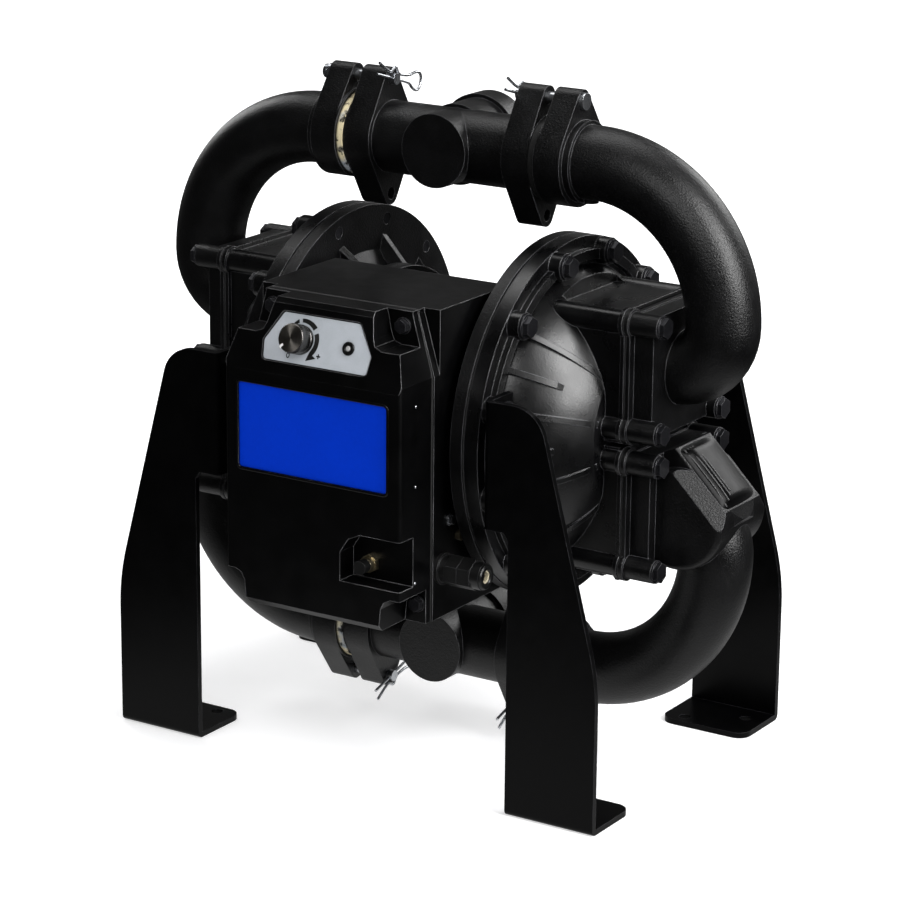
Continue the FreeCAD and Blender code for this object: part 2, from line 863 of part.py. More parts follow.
def bay():
    """The electronics bay, with the bolt bosses left standing."""
    hollow = prism("XZ", box_face(S.box_half_width, S.box_wall), -S.box_front - 1, S.box_front - S.bay_back + 1)
    posts = [rod("Y", (x, -S.box_front - 1, z), S.cover_bolt_radius * 3, size_of(50)) for x, z in COVER_BOLTS]
    return without(hollow, *posts)


SLOPE = math.radians(S.panel_slope.value)
RISE = tangent(S.panel_slope)
JOINT = -S.box_front - S.cover_gasket_thick


def cover_shape(inset):
    """The control cover's outer form, or its inner form drawn in by a wall."""
    front = -S.cover_front + inset
    bottom = BOTTOM + inset
    top = BOX_TOP - inset
    lip = top - S.cover_ridge - 4
    side = [
        (JOINT + 1, bottom),
        (front + 5, bottom),
        (front, bottom + 5),
        (front, S.cover_ridge),
        (front + lip * RISE, top - 4),
        (front + lip * RISE + 4, top),
        (JOINT + 1, top),
    ]
    half = S.cover_half_width
    deep = S.cover_front - S.box_front + 20
    face = box_face(half, inset)
    return common(prism("YZ", side, -half - 1, half * 2 + 2), prism("XZ", face, -S.cover_front - 5, deep))


def pocket_outlines(grow):
    """Corner pockets round the upper and lower bolts, on the right side."""
    top = BOX_TOP + 3
    left = S.upper_bolt_x - 16.4 - grow
    low = S.upper_bolt_z - 15.6 - grow
    side = S.cover_half_width + 4
    upper = [(left, top), (left + 5, low + 8), (left + 7.5, low + 2.5), (left + 14, low), (side, low), (side, top)]
    left = S.lower_bolt_x - 12.5 - grow
    high = S.lower_bolt_z + 12.5 + grow
    under = BOTTOM - 3
    lower = [(left, under), (left + 2, high - 9), (left + 5, high - 3), (left + 11, high), (side, high), (side, under)]
    return upper, lower


def socket_outline(grow):
    """Recess round the small round connector, open to the right."""
    left = S.socket_x - 17 - grow
    low = S.socket_z - 13 - grow
    high = S.socket_z + 28 + grow
    side = S.cover_half_width + 4
    return [(left, low), (side, low), (side, high), (left + 19, high), (left + 8, high - 5), (left, high - 17)]


def in_panel_frame(thing):
    """Put something drawn flat onto the sloped control face."""
    made = group(thing)
    made.Placement = Placement(Vector(), Rotation(Vector(1, 0, 0), 90 - S.panel_slope.value))
    made.setExpression("Placement.Rotation.Angle", "90 deg - Sizes.panel_slope * 1 deg")
    bind(made, "Placement.Base.y", -S.cover_front)
    bind(made, "Placement.Base.z", S.cover_ridge)
    return made


def up_slope(height):
    """Distance up the sloped face of a point at a height."""
    return (size_of(height) - S.cover_ridge) / round(math.cos(SLOPE), 6)


def panel_outline(grow):
    """Six corners of the sloped panel; grow moves them outwards."""
    corners = [(-49.2, 10.4, -1, -1), (49.2, 10.4, 1, -1), (51, 25, 1, 0), (36, 47.8, 1, 1)]
    corners += [(-36, 47.8, -1, 1), (-51, 25, -1, 0)]
    return [(x + u * grow, up_slope(S.cover_ridge + z) + v * grow) for x, z, u, v in corners]


PANEL_RECESS = S.panel_thick + 0.8
KNOB_SPOT = (-S.knob_x, up_slope(S.knob_z))
LAMP_SPOT = (S.lamp_x, up_slope(S.lamp_z))


def control_cover():
    """Hollow front cover with a sloped upper face and a pocket at each bolt."""
    inner = cover_shape(S.cover_wall)
    keep = []
    cuts = []
    deep = S.cover_front - S.pocket_floor + 5
    for grow, kept, first in ((S.cover_wall, keep, JOINT - 60), (ZERO, cuts, -S.cover_front - 5)):
        for points in pocket_outlines(grow):
            length = 62 if grow.value else deep
            made = prism("XZ", points, first, length)
            kept += [made, mirrored(made, LEFT)]
    keep.append(prism("XZ", socket_outline(S.cover_wall), -S.cover_front - 5, S.cover_front - S.socket_floor + 5 + S.cover_wall))
    cuts.append(prism("XZ", socket_outline(0), -S.cover_front - 5, S.cover_front - S.socket_floor + 5))
    hollow = without(inner, *keep)
    low = (-S.label_half_width, -S.cover_front - 1, S.label_bottom)
    high = (S.label_half_width, -S.cover_front + S.label_recess, S.label_top)
    cuts.append(rounded(block(low, high), 3, lambda e: runs_along(e, Vector(0, 1, 0))))
    recess = prism("XY", panel_outline(1), -PANEL_RECESS, 6)
    recess = rounded(recess, 4, lambda e: runs_along(e, Vector(0, 0, 1)))
    cuts.append(in_panel_frame(recess))
    cuts.append(in_panel_frame(rod("Z", (*KNOB_SPOT, -9), size_of(4.6), size_of(10))))
    cuts.append(in_panel_frame(rod("Z", (*LAMP_SPOT, -9), S.lamp_radius + S.slip_gap, size_of(10))))
    cuts.append(rod("Y", (S.socket_x, -S.socket_floor - 2, S.socket_z), size_of(6.1), S.cover_wall + 4))
    for x, z in COVER_BOLTS:
        cuts.append(rod("Y", (x, -S.pocket_floor - 1, z), S.cover_bolt_radius + S.fit_gap, size_of(12)))
    trim = block((-S.cover_half_width - 5, JOINT, BOTTOM - 5), (S.cover_half_width + 5, JOINT + 5, BOX_TOP + 5))
    outer = rounded(cover_shape(ZERO), 3, lambda e: runs_along(e, Vector(0, 0, 1), 30))
    return without(outer, hollow, *cuts, trim)


def control_cover_gasket():
    """Flat seal between the box and its cover."""
    face = box_face(S.cover_half_width - S.slip_gap, 0)
    body = prism("XZ", face, JOINT, S.cover_gasket_thick)
    inner = prism("XZ", box_face(S.cover_half_width, S.box_wall - 1), JOINT - 1, S.cover_gasket_thick + 2)
    posts = [rod("Y", (x, JOINT - 2, z), S.cover_bolt_radius * 3, size_of(6)) for x, z in COVER_BOLTS]
    holes = [rod("Y", (x, JOINT - 1, z), S.cover_bolt_radius + S.fit_gap, size_of(5)) for x, z in COVER_BOLTS]
    return without(body, without(inner, *posts), *holes)


def control_cover_bolt(x, z):
    """Hex flange bolt whose head sits on a pocket's floor."""
    seat = -S.pocket_floor
    washer = S.cover_bolt_head * 0.3
    shank = rod("Y", (x, seat, z), S.cover_bolt_radius, S.pocket_floor - S.box_front + 20)
    flange = rod("Y", (x, seat - washer, z), S.cover_bolt_flange, washer)
    head = hex_bar("Y", (x, seat - S.cover_bolt_head, z), S.cover_bolt_hex, S.cover_bolt_head - washer)
    return joined(shank, flange, head)


def control_panel():
    """Thin plate in the sloped recess with holes for the knob and the lamp."""
    plate = prism("XY", panel_outline(0), -PANEL_RECESS, S.panel_thick)
    plate = rounded(plate, 3, lambda e: runs_along(e, Vector(0, 0, 1), 0.1))
    knob = rod("Z", (*KNOB_SPOT, -9), size_of(4.8), size_of(12))
    lamp = rod("Z", (*LAMP_SPOT, -9), S.lamp_radius + S.slip_gap, size_of(12))
    return in_panel_frame(without(plate, knob, lamp))


def label_plate():
    """Bare coloured plate in the framed recess."""
    gap = S.fit_gap
    back = -S.cover_front + S.label_recess
    low = (-S.label_half_width + gap, back - S.label_thick, S.label_bottom + gap)
    high = (S.label_half_width - gap, back, S.label_top - gap)
    return rounded(block(low, high), 2.7, lambda e: runs_along(e, Vector(0, 1, 0), 0.1))


KNOB_FOOT = -S.panel_thick + 1


def speed_knob():
    """Round knob with a skirt and a spindle that turns in the sensor."""
    top = S.knob_length
    skirt = rod("Z", (*KNOB_SPOT, KNOB_FOOT), S.knob_radius, size_of(3.5))
    body = rod("Z", (*KNOB_SPOT, KNOB_FOOT + 3), S.knob_radius - 0.4, top - 3)
    spindle = rod("Z", (*KNOB_SPOT, -12), size_of(2.9), size_of(14))
    mark = (S.knob_radius - 4) * math.sqrt(0.5)
    dot = rod("Z", (KNOB_SPOT[0] - mark, KNOB_SPOT[1] - mark, KNOB_FOOT + top - 0.6), size_of(1.1), size_of(2))
    return in_panel_frame(without(joined(skirt, body, spindle), dot))


def speed_sensor():
    """Potentiometer on the cover's inner side, with its bushing through the wall."""
    inner = -S.cover_wall * round(math.cos(SLOPE), 6)
    body = rod("Z", (*KNOB_SPOT, inner - 11), size_of(9), size_of(11) - S.slip_gap)
    bush = rod("Z", (*KNOB_SPOT, inner - 1), size_of(4.5), -inner + 1 - S.panel_thick)
    bore = rod("Z", (*KNOB_SPOT, -13), size_of(3), size_of(20))
    return in_panel_frame(without(joined(body, bush), bore))


def status_light():
    """Small lamp with a round bezel."""
    lens = rod("Z", (*LAMP_SPOT, -8), S.lamp_radius, size_of(8))
    bezel = rod("Z", (*LAMP_SPOT, -PANEL_RECESS + S.panel_thick), S.lamp_radius + 2.3, size_of(1.2))
    return in_panel_frame(joined(lens, bezel))


def connector_socket():
    """Threaded round socket in the cover's lower recess."""
    floor = -S.socket_floor
    spot = (S.socket_x, floor - 9, S.socket_z)
    thread = rod("Y", spot, size_of(6), size_of(9) + S.cover_wall + 4)
    nut = hex_bar("Y", (S.socket_x, floor - 3.4, S.socket_z), size_of(14), size_of(3.4))
    return joined(thread, nut)


def connector_cap():
    """Knurled cap on the socket's mouth."""
    floor = -S.socket_floor - 9
    return rod("Y", (S.socket_x, floor - 8.2, S.socket_z), size_of(5.7), size_of(8.2) - S.slip_gap)


def gland_pieces():
    """Cable gland: body through the box wall, cap nut and soft seal."""
    wall = S.box_half_width
    y, z = -S.gland_y, S.gland_z
    inside = S.box_wall - 1
    neck = wall + S.gland_flange
    hexagon_start = neck + S.gland_neck
    nut_start = hexagon_start + S.gland_hex + S.fit_gap
    nose = nut_start + S.gland_nut
    end = nose + S.gland_nose
    across = S.gland_thread * 2.3
    body = joined(
        rod("X", (wall - inside, y, z), S.gland_thread, nut_start - wall + inside + 5),
        rod("X", (wall, y, z), S.gland_thread + 3.2, S.gland_flange),
        rod("X", (neck - 1, y, z), S.gland_thread + 1.2, S.gland_neck + 2),
        hex_bar("X", (hexagon_start, y, z), across, S.gland_hex),
    )
    body = without(body, rod("X", (wall - inside - 1, y, z), S.gland_bore + 1, size_of(60)))
    nut = joined(
        hex_bar("X", (nut_start, y, z), across, S.gland_nut),
        rod("X", (nose - 1, y, z), S.gland_thread + 1.2, S.gland_nose + 1),
    )
    seat = nut_start + 5 + S.slip_gap
    nut = without(
        nut,
        rod("X", (nut_start - 1, y, z), S.gland_thread + S.slip_gap, seat - nut_start + 1),
        rod("X", (nut_start, y, z), S.gland_bore + 2, size_of(40)),
    )
    seal = rod("X", (seat, y, z), S.gland_bore + 2 - S.slip_gap, end - seat - 1)
    seal = without(seal, rod("X", (seat - 1, y, z), S.gland_bore, size_of(40)))
    return body, nut, seal


def ground_screw():
    """Earth screw with its washer on the box's side."""
    x, y, z = S.box_half_width, -GROUND[0], GROUND[1]
    shank = rod("X", (x - 6, y, z), size_of(2.5), size_of(7))
    washer = rod("X", (x, y, z), size_of(5), size_of(1.2))
    head = hex_bar("X", (x + 1, y, z), size_of(7), size_of(3.2))
    return joined(shank, washer, head)


def side_plug():
    """Short brass plug beside the earth screw."""
    x, y, z = S.box_half_width, -PLUG[0], PLUG[1]
    return joined(rod("X", (x - 5, y, z), size_of(3.3), size_of(6)), hex_bar("X", (x, y, z), size_of(8), size_of(4)))


def control_board():
    """Circuit board with its larger components."""
    y = -S.board_y
    thick = S.board_thick
    plate = block((-66, y - thick, AXIS - 88), (66, y, AXIS + 88))
    parts = [
        block((-50, y - thick - 12, AXIS - 60), (-20, y - thick + 0.5, AXIS - 20)),
        block((10, y - thick - 8, AXIS - 50), (48, y - thick + 0.5, AXIS - 30)),
        block((-12, y - thick - 3, AXIS + 5), (12, y - thick + 0.5, AXIS + 29)),
    ]
    for x in (-46, -30):
        parts.append(rod("Y", (x, y - thick - 16, AXIS + 20), size_of(7), size_of(16.5)))
    holes = [rod("Y", (x, y - thick - 1, z), size_of(2.3), thick + 2) for x, z in STANDOFFS]
    return without(joined(plate, *parts), *holes)


def board_standoffs():
    """Posts that carry the board on the bay's back wall."""
    posts = []
    for x, z in STANDOFFS:
        back = -S.bay_back
        stud = rod("Y", (x, -S.board_y - S.board_thick - 3, z), size_of(2), S.board_y + S.board_thick + 3 - S.bay_back + 4)
        post = rod("Y", (x, -S.board_y, z), size_of(4), S.board_y - S.bay_back)
        posts.append(joined(stud, post))
    return group(*posts)


def stator_core():
    """Laminated ring pressed into the barrel."""
    half = S.stator_half
    outer = rod("X", (-half, 0, AXIS), S.motor_bore - S.slip_gap, half * 2)
    return without(outer, rod("X", (-half - 1, 0, AXIS), S.stator_inner, half * 2 + 2))


def stator_windings():
    """End turns on both sides of the stator."""
    low, high = S.stator_inner + 4, S.motor_bore - 4
    points = [
        (S.stator_half, low),
        (S.stator_half, high),
        (S.stator_half + 9, high),
        (S.stator_half + 14, high - 5),
        (S.stator_half + 14, low + 5),
        (S.stator_half + 9, low),
    ]
    ring = turned(points, AXIS)
    return group(ring, mirrored(ring, LEFT))


def rotor():
    """Hollow rotor with a bearing journal at each end."""
    end = S.bearing_start + S.bearing_width - 0.5
    journal = S.journal_radius - S.slip_gap / 2
    core = S.stator_inner - S.rotor_gap
    shoulder = S.bearing_start - S.slip_gap
    points = [
        (-end, S.bushing_radius),
        (-end, journal),
        (-shoulder, journal),
        (-shoulder, S.journal_radius + 4),
        (-S.stator_half, S.journal_radius + 4),
        (-S.stator_half, core),
        (S.stator_half, core),
        (S.stator_half, S.journal_radius + 4),
        (shoulder, S.journal_radius + 4),
        (shoulder, journal),
        (end, journal),
        (end, S.nut_radius),
        (-S.nut_half, S.nut_radius),
        (-S.nut_half, S.bushing_radius),
    ]
    return turned(points, AXIS)


def rotor_bearings():
    """Two sealed ball bearings between the rotor and the air covers."""
    start = S.bearing_start
    outer = rod("X", (start, 0, AXIS), S.bearing_radius - S.slip_gap / 2, S.bearing_width)
    ring = without(outer, rod("X", (start - 1, 0, AXIS), S.journal_radius, S.bearing_width + 2))
    return group(ring, mirrored(ring, LEFT))


def drive_nut():
    """Nut fixed in the rotor that drives the screw."""
    half = S.nut_half
    outer = rod("X", (-half, 0, AXIS), S.nut_radius - S.slip_gap, half * 2)
    return without(outer, rod("X", (-half - 1, 0, AXIS), S.screw_radius + S.fit_gap, half * 2 + 2))


SLOT_FROM = PIN_X - S.half_stroke - S.guide_pin_radius - 0.5
SLOT_TO = PIN_X + S.half_stroke + S.guide_pin_radius + 0.5
SLOT_FLOOR = S.screw_radius - 3


def drive_screw():
    """Screw along the pump's axis, tapped at both ends, with a slot for the guide pin."""
    half = AIR_FACE - S.inner_plate_thick
    body = rod("X", (-half, 0, AXIS), S.screw_radius, half * 2)
    width = S.guide_pin_radius + S.fit_gap
    slot = block((SLOT_FROM, -width, AXIS + SLOT_FLOOR), (SLOT_TO, width, AXIS + S.screw_radius + 1))
    taps = []
    for side in (-1, 1):
        deep = half - PLATE_BOLT_END + 2
        taps.append(rod("X", (side * (half - deep / 2 + 1) - deep / 2 - 1, 0, AXIS), S.plate_bolt_radius - 2 + S.slip_gap / 2, deep + 2))
    return without(body, slot, *taps)


def shaft_bushings():
    """Plain bushings that carry the screw in the air covers."""
    bore = S.screw_radius + 0.05
    outer = rod("X", (S.barrel_half, 0, AXIS), S.bushing_radius - S.slip_gap / 2, S.flange_thick)
    pin = rod("Z", (PIN_X, 0, AXIS), S.guide_pin_radius + S.slip_gap / 2, PIN_REACH)
    ring = without(outer, rod("X", (S.barrel_half - 1, 0, AXIS), bore, S.flange_thick + 2))
    return group(without(ring, pin), mirrored(ring, LEFT))


def guide_pin():
    """Pin that keeps the screw from turning."""
    foot = SLOT_FLOOR + S.fit_gap
    return rod("Z", (PIN_X, 0, AXIS + foot), S.guide_pin_radius, PIN_REACH - foot - S.slip_gap)


BEND = S.manifold_offset - S.port_offset - S.bend_small
LINE = AXIS + S.manifold_offset
PORT = AXIS + S.port_offset
TURN_X = S.elbow_reach - BEND
BASE_START = S.joint_face + S.base_gasket_thick
SMALL_X = S.elbow_reach - S.bend_small


def elbow_path(radius, start, end):
    """A tube's outside or bore: along X, a wide bend down, a tight bend back to the port."""
    wide = quarter_bend((TURN_X, 0, LINE - BEND), Rotation(Vector(1, 0, 0), 90), BEND, radius)
    tight = quarter_bend((SMALL_X, 0, PORT + S.bend_small), Rotation(Vector(1, 0, 0), -90), S.bend_small, radius)
    return [
        rod("X", (start, 0, LINE), radius, TURN_X - start),
        wide,
        tight,
        rod("X", (end, 0, PORT), radius, SMALL_X - end),
    ]


def ear(line, level, hub, start, end):
    """A tapering ear from a hub to its pin, up or down."""
    tip = S.ear_tip_radius
    reach = S.pin_offset
    c = (hub - tip) / reach
    s = root(1 - c * c)
    points = [
        (-hub * s, line + level * hub * c),
        (hub * s, line + level * hub * c),
        (tip * s, line + level * (reach + tip * c)),
        (-tip * s, line + level * (reach + tip * c)),
    ]
    plate = prism("YZ", points, start, end - start)
    return [plate, rod("X", (start, 0, line + level * reach), tip, end - start)]


def elbow(heeled):
    """Upper right manifold elbow with its clamp hub and bolted base, with or without a heel."""
    parts = elbow_path(S.pipe_radius, S.clamp_face, BASE_START)
    parts.append(rod("X", (S.clamp_face, 0, LINE), S.hub_radius, S.elbow_ear_end - S.clamp_face))
    parts.append(rod("X", (S.elbow_ear_end, 0, LINE), S.pipe_radius + 3.2, size_of(6)))
    parts.append(rod("Z", (S.elbow_ear_end + 8, 0, LINE - S.pipe_radius - 3), size_of(7), S.pipe_radius))
    parts += ear(LINE, 1, S.hub_radius, S.elbow_ear_start, S.elbow_ear_end)
    half = size_of(50)
    block_end = BASE_START + S.base_block_height
    parts.append(block((BASE_START, -half, PORT - half), (block_end, half, PORT + half)))
    lip = S.lip_half_width
    rim = block((BASE_START, -lip, PORT - half - 1.5), (BASE_START + S.lip_thick, lip, PORT + half + 1.5))
    parts.append(rim)
    for y, z in port_corners(PORT):
        parts.append(rod("X", (BASE_START, y, z), S.corner_boss_radius, S.boss_top - BASE_START))
        parts.append(rod("X", (BASE_START, y, z), S.corner_boss_radius + S.lip_grow, S.lip_thick))
    if heeled:
        parts += [elbow_heel(block_end), elbow_knuckle(block_end)]
    cuts = elbow_path(S.pipe_bore, S.clamp_face - 1, BASE_START - 1)
    cuts.append(rod("X", (S.elbow_ear_start - 1, 0, LINE + S.pin_offset), S.pin_radius + S.fit_gap, size_of(26)))
    for y, z in port_corners(PORT):
        cuts.append(rod("X", (BASE_START - 1, y, z), HOLE, S.boss_top - BASE_START + 2))
    return without(joined(*parts), *cuts)


def elbow_heel(start):
    """Squared heel outside the tight bend, with a flat face at forty-five degrees."""
    outer = S.pipe_radius + S.bend_small
    centre_z = PORT + S.bend_small
    flat = (outer + S.wedge_offset) * math.sqrt(2)
    low = PORT - S.pipe_radius - 25
    turn_x = SMALL_X + outer - 8
    turn_z = centre_z - flat + outer - 8
    points = [
        (start - 1, PORT),
        (start - 1, low + 5),
        (start + 11, low),
        (SMALL_X + flat - (centre_z - low), low),
        (turn_x, turn_z),
        (turn_x + 5, turn_z + 11),
        (turn_x - 13, centre_z - 15),
        (SMALL_X, centre_z),
    ]
    made = prism("XZ", points, -S.wedge_half_width, S.wedge_half_width * 2)
    slanted = Vector(1, 0, 1).normalize()
    made = rounded(made, 2.5, lambda e: runs_along(e, slanted, 20))
    limit = rod("Z", (SMALL_X + 22, 0, low - 1), S.pipe_radius + 13, centre_z - low + 2)
    return common(made, limit)


def elbow_knuckle(start):
    """Round boss across the tight bend, cut off along the heel's flat and bevelled beside it."""
    reach = S.knuckle_half_width
    spot = (S.knuckle_x, -reach, PORT + S.knuckle_rise)
    disc = rounded(rod("Y", spot, S.knuckle_radius, reach * 2), 5, lambda e: e.isClosed())
    flat = (PORT + S.bend_small - SMALL_X) / math.sqrt(2) - S.pipe_radius - S.bend_small - S.wedge_offset
    bevel = reach - S.wedge_half_width
    side = [(reach + 1, flat + bevel + 1), (reach + 1, flat + S.knuckle_radius * 3)]
    profile = [(-S.wedge_half_width, flat), (S.wedge_half_width, flat)] + side
    profile += [(-y, z) for y, z in reversed(side)]
    middle = (S.knuckle_x + PORT) / math.sqrt(2)
    turned_limit = group(prism("YZ", profile, middle - S.knuckle_radius * 1.5, S.knuckle_radius * 3))
    turned_limit.Placement = Placement(Vector(), Rotation(Vector(0, 1, 0), -45))
    depth = S.knuckle_radius + 5
    low = (start - 1, -reach - 2, PORT - depth)
    return common(disc, turned_limit, block(low, (S.knuckle_x + depth, reach + 2, PORT + depth)))


def elbow_gasket():
    """Flat seal between an elbow's base and the valve block."""
    lip = S.lip_half_width - 0.4
    low = (S.joint_face, -lip, PORT - 51)
    high = (BASE_START, lip, PORT + 51)
    parts = [block(low, high)]
    for y, z in port_corners(PORT):
        parts.append(rod("X", (S.joint_face, y, z), S.corner_boss_radius + S.lip_grow - 0.4, S.base_gasket_thick))
    cuts = [rod("X", (S.joint_face - 1, 0, PORT), S.pipe_bore, size_of(5))]
    cuts += [rod("X", (S.joint_face - 1, y, z), HOLE, size_of(5)) for y, z in port_corners(PORT)]
    return without(joined(*parts), *cuts)


def tee():
    """Outlet tee: a straight run, a blind branch in front and the port at the back."""
    end = S.clamp_face - S.seal_thick
    parts = [
        rod("X", (-end, 0, LINE), S.pipe_radius, end * 2),
        rod("Y", (0, -S.disc_reach, LINE), S.disc_radius, S.disc_reach + 1),
        rod("Y", (0, 0, LINE), S.port_radius, S.port_reach),
        rod("Y", (0, S.port_reach - 22, LINE), S.port_radius + 3.5, size_of(22)),
    ]
    cuts = [
        rod("X", (-end - 1, 0, LINE), S.pipe_bore, end * 2 + 2),
        rod("Y", (0, 0, LINE), S.branch_bore, S.port_reach + 1),
        rod("Y", (0, S.port_reach - 24, LINE), PORT_THREAD, size_of(25)),
    ]
    for side in (-1, 1):
        near, far = S.tee_ear_start, S.tee_ear_end
        start, stop = (near, far) if side > 0 else (-far, -near)
        hub_start = near if side > 0 else -end
        parts.append(rod("X", (hub_start, 0, LINE), S.tee_hub_radius, end - near))
        for level in (-1, 1):
            parts += ear(LINE, level, S.tee_hub_radius, start, stop)
            hole = (start - 1, 0, LINE + level * S.pin_offset)
            cuts.append(rod("X", hole, S.pin_radius + S.fit_gap, far - near + 2))
    return without(joined(*parts), *cuts)


PORT_THREAD = size_of(28.6)


def manifold_seal():
    """Ring between a tee and an elbow."""
    start = S.clamp_face - S.seal_thick
    ring = rod("X", (start, 0, LINE), S.seal_radius, S.seal_thick)
    return without(ring, rod("X", (start - 1, 0, LINE), S.pipe_bore, S.seal_thick + 2))


PIN_LINE = LINE + S.pin_offset
CLIP_X = S.tee_ear_start - S.clip_wire - 0.9
CLIP_TILT = math.radians(16)
CLIP_ALONG = Vector(0, math.cos(CLIP_TILT), -math.sin(CLIP_TILT))
CLIP_ACROSS = Vector(0, math.sin(CLIP_TILT), math.cos(CLIP_TILT))


def clevis_pin():
    """Headed pin through both ears, cross-drilled for its clip."""
    start = S.tee_ear_start - S.pin_tail
    shank = rod("X", (start, 0, PIN_LINE), S.pin_radius, S.elbow_ear_end - start + 1)
    head = rod("X", (S.elbow_ear_end, 0, PIN_LINE), S.pin_head_radius, S.pin_head_thick)
    turn = Rotation(Vector(0, 0, 1), CLIP_ALONG)
    foot = CLIP_ALONG * -10
    hole = tilted_rod((CLIP_X, foot.y, PIN_LINE + foot.z), turn, S.clip_wire + 0.15, size_of(20))
    return without(joined(shank, head), hole)


def bent_wire(points, corner, radius):
    """A round wire along straight runs joined by equal arcs."""
    edges = []
    start = points[0]
    for before, here, after in zip(points, points[1:], points[2:]):
        back = (before - here).normalize()
        ahead = (after - here).normalize()
        half = back.getAngle(ahead) / 2
        first = here + back * (corner / math.tan(half))
        last = here + ahead * (corner / math.tan(half))
        middle = here + (back + ahead).normalize() * (corner / math.sin(half) - corner)
        edges.append(Part.LineSegment(start, first).toShape())
        edges.append(Part.Arc(first, middle, last).toShape())
        start = last
    edges.append(Part.LineSegment(start, points[-1]).toShape())
    ring = Part.Wire(Part.makeCircle(radius, points[0], points[1] - points[0]))
    return Part.Wire(edges).makePipeShell([ring], True, True)


CLIP_BENDS = [
    (-26, 0), (24, 0), (31, -4), (39.5, -4), (39.5, 10), (31, 10),
    (24, 6.2), (9, 5.4), (0, 9.8), (-9, 5.4), (-25, 9.6),
]


def hairpin_cotter():
    """Spring clip whose straight leg passes through the pin."""
    points = [CLIP_ALONG * u + CLIP_ACROSS * v for u, v in CLIP_BENDS]
    made = doc.addObject("Part::Feature", "clip")
    made.Shape = bent_wire(points, 2.6, S.clip_wire.value)
    return place(made, (CLIP_X, 0, PIN_LINE))


def four_of(source):
    """The piece and its images across the middle and across the pump's axis."""
    left = mirrored(source, LEFT)
    return [source, left, mirrored(source, DOWN, AXIS), mirrored(left, DOWN, AXIS)]


def leg():
    """Front right leg: a bent sheet with a drilled foot and a tab for two cover bolts."""
    face = -S.leg_face
    rise = S.leg_shoulder_z - 10
    corner = S.leg_shoulder_x - (S.leg_outer - S.leg_shoulder_x) * (S.leg_top - rise) / (rise - S.leg_straight)
    outlines = [
        (S.leg_inner, ZERO),
        (S.leg_outer, ZERO),
        (S.leg_outer, S.leg_straight),
        (corner, S.leg_top),
        (BOSS_FACE, S.leg_top),
        (BOSS_FACE, S.tab_bottom),
        (S.leg_inner - 4, S.tab_bottom),
        (S.leg_inner, S.tab_bottom - 6),
    ]
    sheet_part = prism("XZ", outlines, face, S.leg_thick)
    for radius, x in ((S.leg_bend_round, S.leg_outer), (S.leg_top_round, corner)):
        sheet_part = rounded(sheet_part, radius.value, lambda e: upright_at(e, x.value, 60))
    foot = block((S.leg_inner, face, 0), (S.leg_outer, face + S.foot_depth, S.leg_thick))
    inner = Vector(0, 0, 1)
    far = (face + S.foot_depth).value
    foot = rounded(foot, S.foot_corner.value, lambda e: runs_along(e, inner, 1) and abs(e.CenterOfMass.y - far) < 0.1)
    tab = block((BOSS_FACE, face, S.tab_bottom), (BOSS_FACE + S.leg_thick, face + S.tab_depth, S.leg_top))
    cuts = [rod("Z", (x, -y, -1), S.foot_hole, S.leg_thick + 2) for x, y in FOOT_HOLES]
    for angle in LEG_ANGLES[:2]:
        y, z = polar(S.pitch_radius, angle)
        cuts.append(rod("X", (BOSS_FACE - 1, y, z), HOLE, S.leg_thick + 2))
    body = joined(sheet_part, foot, tab)
    body = rounded(body, 5, outer_bend)
    return without(body, *cuts)


def upright_at(edge, x, lowest):
    """An edge across the sheet at a place along X, clear of the foot."""
    middle = edge.CenterOfMass
    return runs_along(edge, Vector(0, 1, 0)) and abs(middle.x - x) < 0.1 and middle.z > lowest


def outer_bend(edge):
    """The long outside edge where the foot or the tab folds back from the sheet."""
    middle = edge.CenterOfMass
    on_face = abs(middle.y + S.leg_face.value) < 0.01
    foot = runs_along(edge, Vector(1, 0, 0), 40) and abs(middle.z) < 0.01
    tab = runs_along(edge, Vector(0, 0, 1), 60) and abs(middle.x - BOSS_FACE.value) < 0.01
    return on_face and (foot or tab)


FOOT_HOLES = [
    (S.leg_inner + S.foot_hole_in, S.leg_face - S.foot_depth + S.foot_hole_edge),
    (S.leg_inner + S.foot_hole_in + 46, S.leg_face - S.foot_depth + S.foot_hole_edge + S.foot_hole_step),
]


def rim_bolts(angles, lift):
    """Bolts round the right-hand cover at some of the twelve places."""
    made = []
    for angle in angles:
        y, z = polar(S.pitch_radius, angle)
        seat = BOSS_FACE + lift
        made.append(flange_bolt(seat, y, z, seat - S.rim_inner_face - 0.5))
    return made


def air_cover_screws():
    """Six screws on each side that hold the air covers to the barrel."""
    made = []
    for angle in SCREW_ANGLES:
        y, z = polar(S.cover_screw_pitch, angle)
        made.append(flange_bolt(FLANGE_FACE, y, z, size_of(22), S.cover_bolt_radius, size_of(6), size_of(9), size_of(5)))
    return group(*made, *[mirrored(m, LEFT) for m in made])


